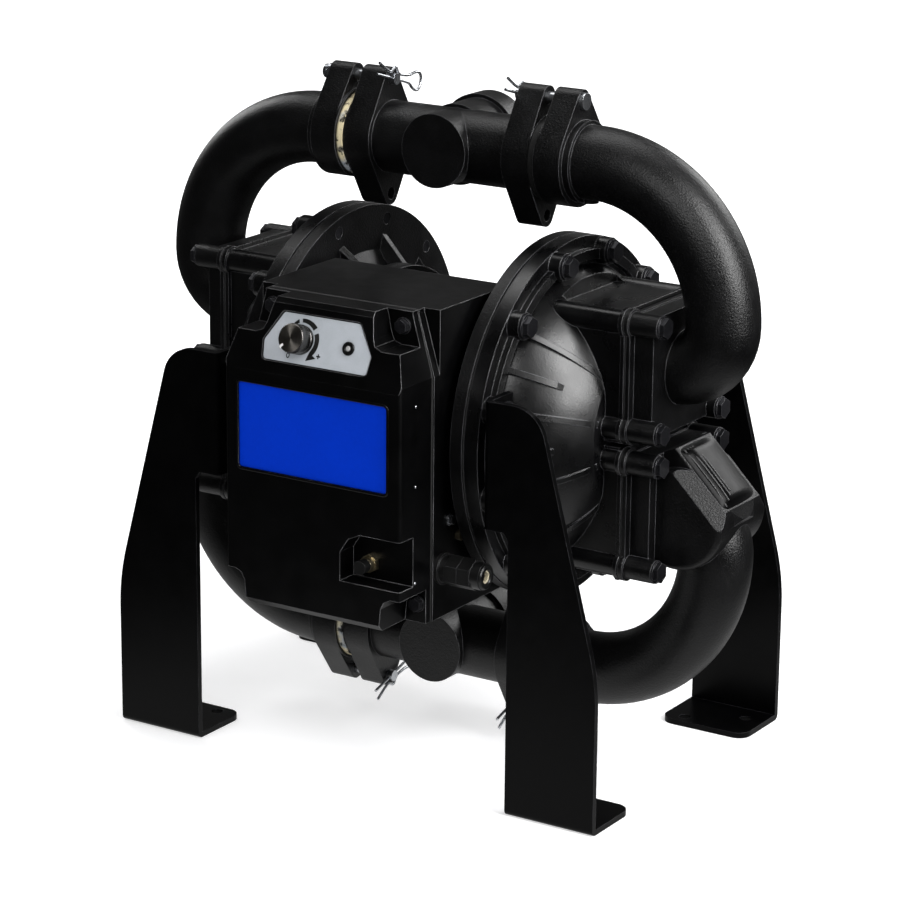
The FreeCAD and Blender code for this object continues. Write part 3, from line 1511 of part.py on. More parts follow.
def build():
    """Make every piece and name it."""
    node("center_housing", center_housing())
    for name, maker in (
        ("air_cover", air_cover_right),
        ("fluid_cover", fluid_cover_right),
        ("diaphragm", diaphragm_right),
        ("inner_plate", inner_plate_right),
        ("outer_plate", outer_plate_right),
    ):
        right = node(name + "_right", maker())
        node(name + "_left", mirrored(right, LEFT))
    bolt = plate_bolt_right()
    node("plate_bolts", group(bolt, mirrored(bolt, LEFT)))
    node("air_cover_screws", air_cover_screws())
    short = rim_bolts([a for a in RIM_ANGLES if a not in LEG_ANGLES], 0)
    node("cover_bolts", group(*short, *[mirrored(b, LEFT) for b in short]))
    long = rim_bolts(LEG_ANGLES, S.leg_thick)
    node("leg_bolts", group(*long, *[mirrored(b, LEFT) for b in long]))
    for name, maker in (
        ("stator_core", stator_core),
        ("stator_windings", stator_windings),
        ("rotor", rotor),
        ("rotor_bearings", rotor_bearings),
        ("drive_nut", drive_nut),
        ("drive_screw", drive_screw),
        ("shaft_bushings", shaft_bushings),
        ("guide_pin", guide_pin),
        ("valve_seats", valve_seats),
    ):
        node(name, maker())
    for name, top in (("outlet_ball", S.outlet_seat_z + S.seat_thick), ("inlet_ball", -S.inlet_seat_z)):
        node(name + "_right", valve_ball(top, 1))
        node(name + "_left", valve_ball(top, -1))
    upper = node("elbow_upper_right", elbow(False))
    node("elbow_upper_left", mirrored(upper, LEFT))
    lower = node("elbow_lower_right", mirrored(elbow(True), DOWN, AXIS))
    node("elbow_lower_left", mirrored(lower, LEFT))
    node("elbow_gaskets", group(*four_of(elbow_gasket())))
    bolts = []
    for y, z in port_corners(PORT):
        bolt = flange_bolt(S.boss_top, y, z, S.boss_top - S.joint_face + 20, None, S.corner_boss_radius - 0.3, None, size_of(5.5))
        bolts += four_of(bolt)
    node("elbow_bolts", group(*bolts))
    outlet = node("outlet_tee", tee())
    node("inlet_tee", mirrored(outlet, DOWN, AXIS))
    node("manifold_seals", group(*four_of(manifold_seal())))
    node("clevis_pins", group(*four_of(clevis_pin())))
    node("hairpin_cotters", group(*four_of(hairpin_cotter())))
    front_right = node("leg_front_right", leg())
    front_left = node("leg_front_left", mirrored(front_right, LEFT))
    node("leg_back_right", mirrored(front_right, BACK))
    node("leg_back_left", mirrored(front_left, BACK))
    node("control_cover", control_cover())
    node("control_cover_gasket", control_cover_gasket())
    node("control_cover_bolts", group(*[control_cover_bolt(x, z) for x, z in COVER_BOLTS]))
    for name, thing in zip(("cable_gland_body", "cable_gland_nut", "cable_gland_seal"), gland_pieces()):
        node(name, thing)
    for maker in (
        control_panel, label_plate, speed_knob, speed_sensor, status_light, connector_socket,
        connector_cap, ground_screw, side_plug, control_board, board_standoffs,
    ):
        node(maker.__name__, maker())


def check():
    """Stop if any object failed or any piece isn't a sound solid."""
    doc.recompute()
    failed = [o.Label for o in doc.Objects if "Invalid" in o.State or "Error" in o.State]
    assert not failed, f"failed: {failed}"
    for piece in NODES:
        shape = piece.Shape
        assert not shape.isNull() and shape.isValid() and shape.Solids, f"bad shape: {piece.Label}"


def export():
    os.makedirs("parts", exist_ok=True)
    for piece in NODES:
        piece.Shape.exportStep(f"parts/{piece.Label}.step")


build()
check()
export()
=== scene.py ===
"""Looks of the electric diaphragm pump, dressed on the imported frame."""
import math

import bmesh
import bpy
from mathutils import Matrix, Vector
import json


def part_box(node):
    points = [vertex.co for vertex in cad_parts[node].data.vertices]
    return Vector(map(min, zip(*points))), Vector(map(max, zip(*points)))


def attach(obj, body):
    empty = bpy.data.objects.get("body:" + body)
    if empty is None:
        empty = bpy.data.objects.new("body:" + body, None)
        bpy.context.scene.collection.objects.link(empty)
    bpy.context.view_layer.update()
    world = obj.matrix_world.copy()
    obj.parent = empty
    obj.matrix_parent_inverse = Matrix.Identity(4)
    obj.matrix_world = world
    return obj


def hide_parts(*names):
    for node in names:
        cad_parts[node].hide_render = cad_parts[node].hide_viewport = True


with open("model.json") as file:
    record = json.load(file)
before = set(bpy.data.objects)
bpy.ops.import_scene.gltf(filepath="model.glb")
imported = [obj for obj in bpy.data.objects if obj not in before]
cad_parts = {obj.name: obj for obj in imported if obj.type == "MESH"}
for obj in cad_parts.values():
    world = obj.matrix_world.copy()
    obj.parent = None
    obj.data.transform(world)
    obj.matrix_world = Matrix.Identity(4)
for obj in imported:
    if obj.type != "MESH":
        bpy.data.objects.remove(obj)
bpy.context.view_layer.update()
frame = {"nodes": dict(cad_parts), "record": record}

# camera, fitted to the photograph
AZIMUTH, ELEVATION, ROLL = (math.radians(a) for a in (32.51, 16.2, 0.52))
TARGET = Vector((-0.0025, -0.0016, 0.24346))
DISTANCE = 2.83024
SENSOR = 36
FRAME_PIXELS = 900
FOCAL_PIXELS = 3336.4

back = Vector((
    math.sin(AZIMUTH) * math.cos(ELEVATION),
    -math.cos(AZIMUTH) * math.cos(ELEVATION),
    math.sin(ELEVATION),
))
level = Vector((math.cos(AZIMUTH), math.sin(AZIMUTH), 0))
upright = back.cross(level)
right = level * math.cos(ROLL) + upright * math.sin(ROLL)
up = upright * math.cos(ROLL) - level * math.sin(ROLL)
camera = bpy.data.objects.new("camera", bpy.data.cameras.new("camera"))
bpy.context.collection.objects.link(camera)
camera.data.sensor_width = SENSOR
camera.data.lens = FOCAL_PIXELS / FRAME_PIXELS * SENSOR
camera.data.clip_end = 50
turn = Matrix((right, up, back)).transposed().to_4x4()
camera.matrix_world = Matrix.Translation(TARGET + back * DISTANCE) @ turn
bpy.context.scene.camera = camera


# lights and world
def lamp(name, spot, aim, size, power):
    """Rectangular soft light at a spot, aimed at a point."""
    data = bpy.data.lights.new(name, "AREA")
    data.shape = "RECTANGLE"
    data.size, data.size_y = size
    data.energy = power
    thing = bpy.data.objects.new(name, data)
    bpy.context.collection.objects.link(thing)
    spot, aim = Vector(spot), Vector(aim)
    thing.matrix_world = Matrix.Translation(spot) @ (spot - aim).to_track_quat("Z", "Y").to_matrix().to_4x4()


def arithmetic(nodes, links, operation, first, second):
    """Math node on two sockets, or on a socket and a number."""
    made = nodes.new("ShaderNodeMath")
    made.operation = operation
    links.new(first, made.inputs[0])
    if isinstance(second, float):
        made.inputs[1].default_value = second
    else:
        links.new(second, made.inputs[1])
    return made.outputs[0]


def ray_kinds(nodes, links):
    """Socket that is 1 for camera and transmission rays, and the one for glossy rays."""
    path = nodes.new("ShaderNodeLightPath")
    straight = (path.outputs[name] for name in ("Is Camera Ray", "Is Transmission Ray"))
    return arithmetic(nodes, links, "MAXIMUM", *straight), path.outputs["Is Glossy Ray"]


def chosen(nodes, links, factor, first, second):
    """Shader that goes from the first to the second as the factor goes from 0 to 1."""
    made = nodes.new("ShaderNodeMixShader")
    for n, socket in enumerate((factor, first, second)):
        links.new(socket, made.inputs[n])
    return made.outputs[0]


lamp("key_light", (1.92, -0.24, 1.42), (0.1, 0, 0.3), (1.1, 1.9), 68)
lamp("top_light", (-0.4, 0.35, 1.9), (0, 0, 0.35), (1.3, 0.8), 8)
lamp("fill_light", (0.6, -2.0, 1.85), (0, 0, 0.3), (1.3, 1.0), 16)
lamp("edge_light", (-1.9, 0.9, 1.2), (0, 0, 0.3), (0.35, 1.2), 8)
lamp("back_light", (0.5, 2.15, 1.35), (0, 0, 0.25), (1.3, 1.0), 17)


def world_light():
    """White for the camera and for glass, dim and from behind for glossy rays, plain fill for the rest."""
    world = bpy.data.worlds.new("world")
    bpy.context.scene.world = world
    world.use_nodes = True
    nodes, links = world.node_tree.nodes, world.node_tree.links
    nodes.clear()
    shown, glossy = ray_kinds(nodes, links)
    place = nodes.new("ShaderNodeTexCoord")
    parts = nodes.new("ShaderNodeSeparateXYZ")
    links.new(place.outputs["Generated"], parts.inputs[0])

    def eased(source, limits):
        made = nodes.new("ShaderNodeMapRange")
        made.interpolation_type = "SMOOTHSTEP"
        for name, value in zip(("From Min", "From Max", "To Min", "To Max"), limits):
            made.inputs[name].default_value = value
        links.new(parts.outputs[source], made.inputs["Value"])
        return made.outputs[0]

    def shade(strength):
        made = nodes.new("ShaderNodeBackground")
        made.inputs["Color"].default_value = (1, 1, 1, 1)
        made.inputs["Strength"].default_value = strength
        return made

    behind = eased("Y", (-0.25, 0.45, 0.02, 0.16))
    low = eased("Z", (0.02, 0.4, 1.0, 0.3))
    fill, dim, white = shade(0.5), shade(1.0), shade(1.0)
    links.new(arithmetic(nodes, links, "MULTIPLY", behind, low), dim.inputs["Strength"])
    hidden = chosen(nodes, links, glossy, fill.outputs[0], dim.outputs[0])
    out = nodes.new("ShaderNodeOutputWorld")
    links.new(chosen(nodes, links, shown, hidden, white.outputs[0]), out.inputs[0])


world_light()
bpy.context.scene.view_settings.view_transform = "Standard"


# materials
def new_material(name):
    made = bpy.data.materials.new(name)
    made.use_nodes = True
    made.node_tree.nodes.clear()
    return made, made.node_tree.nodes, made.node_tree.links


def noise(nodes, links, coordinates, scale, detail=4.0, rough=0.55):
    made = nodes.new("ShaderNodeTexNoise")
    made.inputs["Scale"].default_value = scale
    made.inputs["Detail"].default_value = detail
    made.inputs["Roughness"].default_value = rough
    links.new(coordinates, made.inputs["Vector"])
    return made.outputs[0]


def ranged(nodes, links, value, low, high, start=0.3, end=0.7):
    made = nodes.new("ShaderNodeMapRange")
    made.inputs["From Min"].default_value = start
    made.inputs["From Max"].default_value = end
    made.inputs["To Min"].default_value = low
    made.inputs["To Max"].default_value = high
    links.new(value, made.inputs["Value"])
    return made.outputs[0]


def mixed_tone(nodes, links, factor, first, second):
    """Colour between two, each a linear colour or a socket."""
    made = nodes.new("ShaderNodeMix")
    made.data_type = "RGBA"
    links.new(factor, made.inputs[0])
    for n, tone in ((6, first), (7, second)):
        if isinstance(tone, tuple):
            made.inputs[n].default_value = (*tone, 1)
        else:
            links.new(tone, made.inputs[n])
    return made.outputs[2]


def finish(name, dark, pale, rough, grain, relief, metallic=0.0, specular=0.5,
           stretch=(1, 1, 1), edge=0.0009, coat=0.0, painted_highlight=None):
    """Material whose tone, gloss and relief vary over the surface.

    dark and pale are linear colours, rough the two ends of the roughness, grain
    the texture's cells per metre, relief its depth in metres, edge the radius
    that sharp corners seem to have, and painted_highlight the pale tone painted
    in patches on those corners as a highlight.
    """
    made, nodes, links = new_material(name)
    place = nodes.new("ShaderNodeTexCoord")
    mapping = nodes.new("ShaderNodeMapping")
    mapping.inputs["Scale"].default_value = stretch
    links.new(place.outputs["Object"], mapping.inputs["Vector"])
    spot = mapping.outputs[0]
    coarse = noise(nodes, links, spot, grain * 0.06, 3)
    pebble = noise(nodes, links, spot, grain, 3, 0.6)
    both = nodes.new("ShaderNodeMath")
    both.operation = "MULTIPLY_ADD"
    links.new(pebble, both.inputs[0])
    both.inputs[1].default_value = 0.5
    links.new(arithmetic(nodes, links, "MULTIPLY", coarse, 0.5), both.inputs[2])
    tone = mixed_tone(nodes, links, ranged(nodes, links, both.outputs[0], 0, 1, 0.35, 0.65), dark, pale)
    shader = nodes.new("ShaderNodeBsdfPrincipled")
    links.new(ranged(nodes, links, coarse, *rough), shader.inputs["Roughness"])
    shader.inputs["Metallic"].default_value = metallic
    shader.inputs["Specular IOR Level"].default_value = specular
    shader.inputs["Coat Weight"].default_value = coat
    bump = nodes.new("ShaderNodeBump")
    bump.inputs["Distance"].default_value = relief
    links.new(pebble, bump.inputs["Height"])
    if edge:
        bevel = nodes.new("ShaderNodeBevel")
        bevel.samples = 4
        bevel.inputs["Radius"].default_value = edge
        links.new(bevel.outputs[0], bump.inputs["Normal"])
    # painted highlight: corners lightened in patches towards a pale tone, standing in for light caught on
    # the edges
    if painted_highlight:
        ground = nodes.new("ShaderNodeNewGeometry")
        across = nodes.new("ShaderNodeVectorMath")
        across.operation = "DOT_PRODUCT"
        links.new(bevel.outputs[0], across.inputs[0])
        links.new(ground.outputs["Normal"], across.inputs[1])
        corner = ranged(nodes, links, across.outputs["Value"], 1, 0, 0.8, 0.985)
        patchy = ranged(nodes, links, coarse, 0.35, 1, 0.4, 0.6)
        tone = mixed_tone(nodes, links, arithmetic(nodes, links, "MULTIPLY", corner, patchy), tone, painted_highlight)
    links.new(tone, shader.inputs["Base Color"])
    links.new(bump.outputs[0], shader.inputs["Normal"])
    out = nodes.new("ShaderNodeOutputMaterial")
    links.new(shader.outputs[0], out.inputs[0])
    return made


BLACK = (0.0004, 0.0004, 0.0005)
SOOT = (0.0016, 0.0016, 0.002)
COAL = (0.001, 0.001, 0.0012)
# pale tone of the painted highlight on sharp edges
PAINTED_HIGHLIGHT = (0.12, 0.12, 0.13)
STEEL = (0.4, 0.41, 0.42), (0.6, 0.61, 0.62)
METAL = {"metallic": 1.0}
FINE_METAL = {"metallic": 1.0, "edge": 0.0003}
# each row: dark, pale, roughness, grain, relief, and what else differs
LOOKS = {
    "cast_black": (BLACK, SOOT, (0.3, 0.42), 640, 0.0004, {"edge": 0.001, "painted_highlight": PAINTED_HIGHLIGHT}),
    "dome_black": (BLACK, SOOT, (0.24, 0.34), 640, 0.0001,
                   {"specular": 0.62, "edge": 0.001, "painted_highlight": PAINTED_HIGHLIGHT}),
    "cover_black": (BLACK, COAL, (0.28, 0.36), 900, 0.00003,
                    {"specular": 0.26, "edge": 0.0008, "painted_highlight": (0.3, 0.3, 0.31)}),
    "leg_black": (BLACK, COAL, (0.3, 0.38), 1000, 0.00003,
                  {"specular": 0.14, "edge": 0.0007, "painted_highlight": (0.05, 0.05, 0.055)}),
    "bolt_black": ((0.012, 0.012, 0.014), (0.035, 0.035, 0.04), (0.28, 0.42), 500, 0.00002,
                   {"metallic": 0.75, "edge": 0.0006, "painted_highlight": (0.2, 0.2, 0.21)}),
    "zinc": ((0.55, 0.57, 0.6), (0.75, 0.77, 0.8), (0.22, 0.36), 600, 0.00002, FINE_METAL),
    "steel": (*STEEL, (0.25, 0.38), 500, 0.00002, METAL),
    "seal": ((0.5, 0.44, 0.3), (0.68, 0.62, 0.46), (0.5, 0.65), 350, 0.00008, {}),
    "gasket": ((0.008, 0.008, 0.008), (0.02, 0.02, 0.02), (0.6, 0.75), 500, 0.00005, {}),
    "membrane": ((0.015, 0.015, 0.015), (0.03, 0.03, 0.03), (0.55, 0.7), 300, 0.0001, {}),
    "ball": ((0.6, 0.6, 0.56), (0.75, 0.75, 0.71), (0.35, 0.45), 300, 0.00002, {}),
    "seat": (*STEEL, (0.2, 0.35), 500, 0.00001, METAL),
    "plate": ((0.5, 0.5, 0.52), (0.7, 0.7, 0.72), (0.28, 0.4), 500, 0.00002, METAL),
    "core": ((0.12, 0.12, 0.13), (0.28, 0.28, 0.3), (0.35, 0.5), 900, 0.00005,
             {"metallic": 0.9, "stretch": (1.6, 0.1, 0.1)}),
    "copper": ((0.4, 0.14, 0.05), (0.65, 0.28, 0.12), (0.25, 0.4), 900, 0.0001,
               {"metallic": 0.8, "stretch": (0.2, 1, 1)}),
    "bronze": ((0.42, 0.26, 0.09), (0.6, 0.4, 0.16), (0.3, 0.42), 500, 0.00002, METAL),
    "brass": ((0.42, 0.36, 0.24), (0.66, 0.58, 0.4), (0.22, 0.36), 500, 0.00002, FINE_METAL),
    "panel": ((0.40, 0.43, 0.46), (0.46, 0.49, 0.53), (0.4, 0.5), 1500, 0.00001,
              {"metallic": 0.1, "edge": 0.0003}),
    "blue": ((0.0, 0.026, 0.42), (0.0, 0.030, 0.47), (0.4, 0.5), 300, 0.00001,
             {"specular": 0.02, "edge": 0.0003}),
    "knob": ((0.08, 0.078, 0.075), (0.22, 0.21, 0.2), (0.2, 0.32), 900, 0.00002, FINE_METAL),
    "plastic_black": ((0.002, 0.002, 0.002), (0.007, 0.007, 0.007), (0.26, 0.38), 700, 0.00002,
                      {"edge": 0.0005, "painted_highlight": (0.08, 0.08, 0.085)}),
    "lens": ((0.22, 0.22, 0.22), (0.42, 0.42, 0.41), (0.15, 0.25), 900, 0.00001,
             {"coat": 0.5, "edge": 0.0003}),
    "white_ink": ((0.7, 0.7, 0.7), (0.8, 0.8, 0.8), (0.4, 0.5), 900, 0.00001, {"edge": 0}),
    "black_ink": ((0.006, 0.006, 0.006), (0.01, 0.01, 0.01), (0.4, 0.5), 900, 0.00001, {"edge": 0}),
    "board": ((0.004, 0.06, 0.02), (0.01, 0.12, 0.04), (0.3, 0.4), 300, 0.00003, {}),
}
FINISHES = {name: finish(name, *row[:-1], **row[-1]) for name, row in LOOKS.items()}


def seal_finish():
    """Cream rubber with grey patches, cream only in a ragged band of the left rings and near black
    elsewhere; the rings on the right are near black all round.
    """
    made, nodes, links = new_material("seal_banded")
    place = nodes.new("ShaderNodeTexCoord")
    parts = nodes.new("ShaderNodeSeparateXYZ")
    links.new(place.outputs["Object"], parts.inputs[0])
    grain = noise(nodes, links, place.outputs["Object"], 140, 4, 0.6)
    patches = noise(nodes, links, place.outputs["Object"], 45, 2)
    stained = ranged(nodes, links, patches, 0, 1, 0.42, 0.55)
    cream = mixed_tone(nodes, links, stained, (0.34, 0.37, 0.40), (0.62, 0.54, 0.34))
    left = ranged(nodes, links, parts.outputs["X"], 1, 0, -0.01, 0.01)
    along = ranged(nodes, links, parts.outputs["X"], 0, 1, -0.0965, -0.0945)
    ragged = arithmetic(nodes, links, "MULTIPLY", along, ranged(nodes, links, grain, 0, 1, 0.38, 0.48))
    shown = arithmetic(nodes, links, "MULTIPLY", left, ragged)
    tone = mixed_tone(nodes, links, shown, (0.004, 0.004, 0.004), cream)
    shader = nodes.new("ShaderNodeBsdfPrincipled")
    links.new(tone, shader.inputs["Base Color"])
    links.new(ranged(nodes, links, grain, 0.45, 0.65), shader.inputs["Roughness"])
    bump = nodes.new("ShaderNodeBump")
    bump.inputs["Distance"].default_value = 0.0004
    links.new(grain, bump.inputs["Height"])
    links.new(bump.outputs[0], shader.inputs["Normal"])
    out = nodes.new("ShaderNodeOutputMaterial")
    links.new(shader.outputs[0], out.inputs[0])
    return made


def spun_finish(name, centre, axis, tint, rough, strength):
    """Metal turned on a lathe, whose fine rings stretch the highlights across them."""
    made, nodes, links = new_material(name)
    place = nodes.new("ShaderNodeTexCoord")
    outward = nodes.new("ShaderNodeVectorMath")
    outward.operation = "SUBTRACT"
    links.new(place.outputs["Object"], outward.inputs[0])
    outward.inputs[1].default_value = centre
    along = nodes.new("ShaderNodeVectorMath")
    along.operation = "CROSS_PRODUCT"
    along.inputs[0].default_value = axis
    links.new(outward.outputs[0], along.inputs[1])
    unit = nodes.new("ShaderNodeVectorMath")
    unit.operation = "NORMALIZE"
    links.new(along.outputs[0], unit.inputs[0])
    reach = nodes.new("ShaderNodeVectorMath")
    reach.operation = "LENGTH"
    links.new(outward.outputs[0], reach.inputs[0])
    rings = nodes.new("ShaderNodeTexNoise")
    rings.noise_dimensions = "1D"
    rings.inputs["Scale"].default_value = 2600
    rings.inputs["Detail"].default_value = 2
    links.new(reach.outputs["Value"], rings.inputs["W"])
    tone = mixed_tone(nodes, links, rings.outputs[0], tuple(c * 0.7 for c in tint), tint)
    shader = nodes.new("ShaderNodeBsdfPrincipled")
    shader.inputs["Metallic"].default_value = 1
    shader.inputs["Anisotropic"].default_value = strength
    links.new(tone, shader.inputs["Base Color"])
    links.new(ranged(nodes, links, rings.outputs[0], *rough), shader.inputs["Roughness"])
    links.new(unit.outputs[0], shader.inputs["Tangent"])
    out = nodes.new("ShaderNodeOutputMaterial")
    links.new(shader.outputs[0], out.inputs[0])
    return made


FINISHES["seal_banded"] = seal_finish()
FINER = {"fluid_cover_right": "dome_black", "fluid_cover_left": "dome_black", "manifold_seals": "seal_banded"}
for entry in frame["record"]["subparts"]:
    thing = frame["nodes"].get(entry["node"])
    if thing:
        for slot in thing.material_slots:
            slot.material = FINISHES[FINER.get(entry["node"], entry["material_slot"])]


# pieces
MM = 0.001
AXIS = 291.6
COVER_FRONT = -210.3
PANEL_FOOT = Vector((0, COVER_FRONT, 351)) * MM
PANEL = Matrix.Translation(PANEL_FOOT) @ Matrix.Rotation(math.radians(72), 4, "X") @ Matrix.Scale(MM, 4)
KNOB = (-16.4, 30.18)
LAMP = (29.1, 29.65)
# heights of the printed marks over the panel's plane
FILM = -0.8
INK_TOP = FILM + 0.06


def dress(thing, body, material, slot, *stands_for):
    """Give a piece its material and its body, and hide the nodes it stands for."""
    thing.data.materials.append(FINISHES[material])
    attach(thing, body)
    if stands_for:
        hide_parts(*stands_for)


def piece(name, build, matrix=None, smooth=None):
    """Object from a bmesh that build fills, moved by matrix."""
    made = bmesh.new()
    build(made)
    if matrix is not None:
        bmesh.ops.transform(made, matrix=matrix, verts=made.verts)
    bmesh.ops.recalc_face_normals(made, faces=made.faces)
    mesh = bpy.data.meshes.new(name)
    made.to_mesh(mesh)
    made.free()
    thing = bpy.data.objects.new(name, mesh)
    bpy.context.collection.objects.link(thing)
    if smooth is not None:
        mesh.shade_smooth()
        mesh.set_sharp_from_angle(angle=math.radians(smooth))
    return thing


def revolve(made, profile, count, spot=(0, 0), wave=None):
    """Turn a closed profile of (radius, height) round local Z; wave(step, row) scales a radius."""
    rings = []
    for step in range(count):
        angle = 2 * math.pi * step / count
        ring = []
        for row, (radius, height) in enumerate(profile):
            radius *= wave(step, row) if wave else 1
            x, y = spot[0] + radius * math.cos(angle), spot[1] + radius * math.sin(angle)
            ring.append(made.verts.new((x, y, height)))
        rings.append(ring)
    rows = len(profile)
    for step in range(count):
        here, there = rings[step], rings[(step + 1) % count]
        for row in range(rows - 1):
            made.faces.new((here[row], there[row], there[row + 1], here[row + 1]))
    for row in (0, rows - 1):
        if profile[row][0] > 0:
            made.faces.new([ring[row] for ring in rings])


def plate(made, points, low, high):
    """Flat prism over an outline, between two heights."""
    under = [made.verts.new((x, y, low)) for x, y in points]
    over = [made.verts.new((x, y, high)) for x, y in points]
    made.faces.new(under)
    made.faces.new(over)
    for n in range(len(points)):
        m = (n + 1) % len(points)
        made.faces.new((under[n], under[m], over[m], over[n]))


def band(start, end, inner, outer, steps=24, spot=KNOB):
    """Outline of an arc band; inner and outer give its two radii from start to end."""

    def point(share, pair):
        angle = math.radians(start + (end - start) * share)
        radius = pair[0] + (pair[1] - pair[0]) * share
        return spot[0] + radius * math.cos(angle), spot[1] + radius * math.sin(angle)

    shares = [n / steps for n in range(steps + 1)]
    return [point(s, inner) for s in shares] + [point(s, outer) for s in reversed(shares)]


def wires(name, radius, lines, fineness=3, steps=12):
    """One curve of round wires along smooth lines, each a list of points in millimetres."""
    data = bpy.data.curves.new(name, "CURVE")
    data.dimensions = "3D"
    data.bevel_depth = radius * MM
    data.bevel_resolution = fineness
    data.resolution_u = steps
    data.use_fill_caps = True
    for points in lines:
        line = data.splines.new("NURBS")
        line.points.add(len(points) - 1)
        for point, (x, y, z) in zip(line.points, points):
            point.co = (x * MM, y * MM, z * MM, 1)
        line.order_u = 3
        line.use_endpoint_u = True
    thing = bpy.data.objects.new(name, data)
    bpy.context.collection.objects.link(thing)
    return thing


# knob: knurled body, turned face with a white pointer, smooth skirt
KNOB_TOP = 15
KNOB_TINT = (0.42, 0.39, 0.35)
POINTER_TURN = math.radians(225)
POINTER_WIDTH = 0.95
KNURLS = 48
KNURLED_ROWS = (5, 6)
face_centre = PANEL @ Vector((*KNOB, KNOB_TOP))
face_axis = (PANEL.to_3x3() * (1 / MM)) @ Vector((0, 0, 1))
FINISHES["knob_face"] = spun_finish("knob_face", face_centre, face_axis, KNOB_TINT, (0.28, 0.4), 0.85)


def knob_shape(made):
    profile = [
        (0.01, -0.2), (12.1, -0.2), (12.1, 2.6), (11.9, 3.1), (11.7, 3.3), (11.65, 3.9),
        (11.65, 13.6), (11.5, 14.5), (11.1, 14.9), (10.9, 14.9), (0.01, 14.85),
    ]

    def wave(step, row):
        return 1.03 if step % 4 < 2 and row in KNURLED_ROWS else 1

    revolve(made, profile, KNURLS * 4, KNOB, wave)


def pointer_shape(made):
    turned, width = POINTER_TURN, POINTER_WIDTH
    for reach, low, high in (((8.2, 11.2), 14.7, 15.08), ((10.9, 12.05), 10.5, 14.85)):
        corners = []
        for radius, side in ((reach[0], -1), (reach[1], -1), (reach[1], 1), (reach[0], 1)):
            corners.append((
                KNOB[0] + radius * math.cos(turned) - side * width * math.sin(turned),
                KNOB[1] + radius * math.sin(turned) + side * width * math.cos(turned),
            ))
        plate(made, corners, low, high)


def knob_disc(made):
    revolve(made, [(11.1, 14.8), (11.1, 14.94), (10.9, 15.0), (0.01, 14.98)], 96, KNOB)


dress(piece("turned_knob", knob_shape, PANEL, 30), "knob", "knob", "knob", "speed_knob")
dress(piece("knob_disc", knob_disc, PANEL, 20), "knob", "knob_face", "knob", "speed_knob")
dress(piece("knob_pointer", pointer_shape, PANEL), "knob", "white_ink", "knob")


# plain marks round the knob: an arc that grows towards its arrow, 0 and +
def arc_shape(made):
    for start, end, inner, outer in (
        (127, 107, (13.4, 13.8), (15.4, 16.8)),
        (96, 41, (13.9, 13.4), (17.0, 17.8)),
        (26, -38, (12.9, 12.7), (17.0, 16.9)),
    ):
        plate(made, band(start, end, inner, outer), FILM, INK_TOP)
    plate(made, [(-0.1, 17.3), (-6.9, 21.4), (-9.3, 14.3)], FILM, INK_TOP)
    plate(made, band(-37, -47, (12.7, 13.4), (16.9, 16.0), 6), FILM, INK_TOP)


ZERO = (-26.4, 16.5)
PLUS = (2.2, 19.4)
ZERO_STEPS = 32


def sign_shape(made):
    circle = band(0, 360, (1, 1), (1, 1), ZERO_STEPS, (0, 0))[:ZERO_STEPS]
    outer, inner = (
        [made.verts.new((ZERO[0] + wide * x, ZERO[1] + tall * y, INK_TOP)) for x, y in circle]
        for wide, tall in ((1.65, 2.3), (0.8, 1.4))
    )
    for n in range(ZERO_STEPS):
        m = (n + 1) % ZERO_STEPS
        made.faces.new((outer[n], outer[m], inner[m], inner[n]))
    for wide, tall in ((1.95, 0.52), (0.52, 1.95)):
        corners = [(PLUS[0] + u * wide, PLUS[1] + v * tall) for u, v in ((-1, -1), (1, -1), (1, 1), (-1, 1))]
        plate(made, corners, FILM, INK_TOP)


dress(piece("speed_arc", arc_shape, PANEL), "pump_frame", "black_ink", "plastic_black")
dress(piece("speed_signs", sign_shape, PANEL), "pump_frame", "black_ink", "plastic_black")


# status lamp: dark bezel round a pale lens
def bezel_shape(made):
    profile = [(5.5, FILM), (5.5, 0.1), (5.1, 0.5), (3.1, 0.5), (2.3, 0.1), (2.3, FILM)]
    revolve(made, profile, 64, LAMP)


def lens_shape(made):
    profile = [
        (2.9, -7.5), (2.9, -0.9), (2.3, -0.6), (2.2, 0.0), (1.8, 0.3), (1.2, 0.5), (0.6, 0.58), (0.01, 0.6),
    ]
    revolve(made, profile, 48, LAMP)


bezel = piece("lamp_bezel", bezel_shape, PANEL, 30)
dress(bezel, "pump_frame", "plastic_black", "plastic_black", "status_light")
dress(piece("lamp_lens", lens_shape, PANEL, 40), "pump_frame", "lens", "lens", "status_light")


# spring clips: round wire, the straight leg through the pin and the loop behind
CLIP = [
    (-26, 0), (-8, 0), (8, 0), (24, 0), (30, -4.2), (37.5, -5.2), (41.5, -1), (41.5, 6.6), (37.5, 11),
    (30, 9.8), (23, 6), (11, 4.6), (5, 4.8), (0, 11.2), (-5, 4.8), (-11, 4.8), (-25, 9.6),
]
CLIP_X = 62.15
PIN_HEIGHT = 555.1
CLIP_TILT = math.radians(16)
WIRE = 1.25


def clip_lines():
    """The four clips, mirrored as the four joints are."""
    for side in (1, -1):
        for over in (1, -1):
            points = []
            for u, v in CLIP:
                y = u * math.cos(CLIP_TILT) + v * math.sin(CLIP_TILT)
                z = PIN_HEIGHT - u * math.sin(CLIP_TILT) + v * math.cos(CLIP_TILT)
                points.append((side * CLIP_X, y, AXIS + over * (z - AXIS)))
            yield points


dress(wires("spring_clips", WIRE, clip_lines(), 5, 10), "pump_frame", "zinc", "zinc", "hairpin_cotters")


def along_x(x, y, z):
    """Matrix that lays local Z along X at a spot in millimetres."""
    turned = Matrix.Rotation(math.radians(90), 4, "Y")
    return Matrix.Translation(Vector((x, y, z)) * MM) @ turned @ Matrix.Scale(MM, 4)


# collar on the end of the upper left pin
PIN_END = -123.6


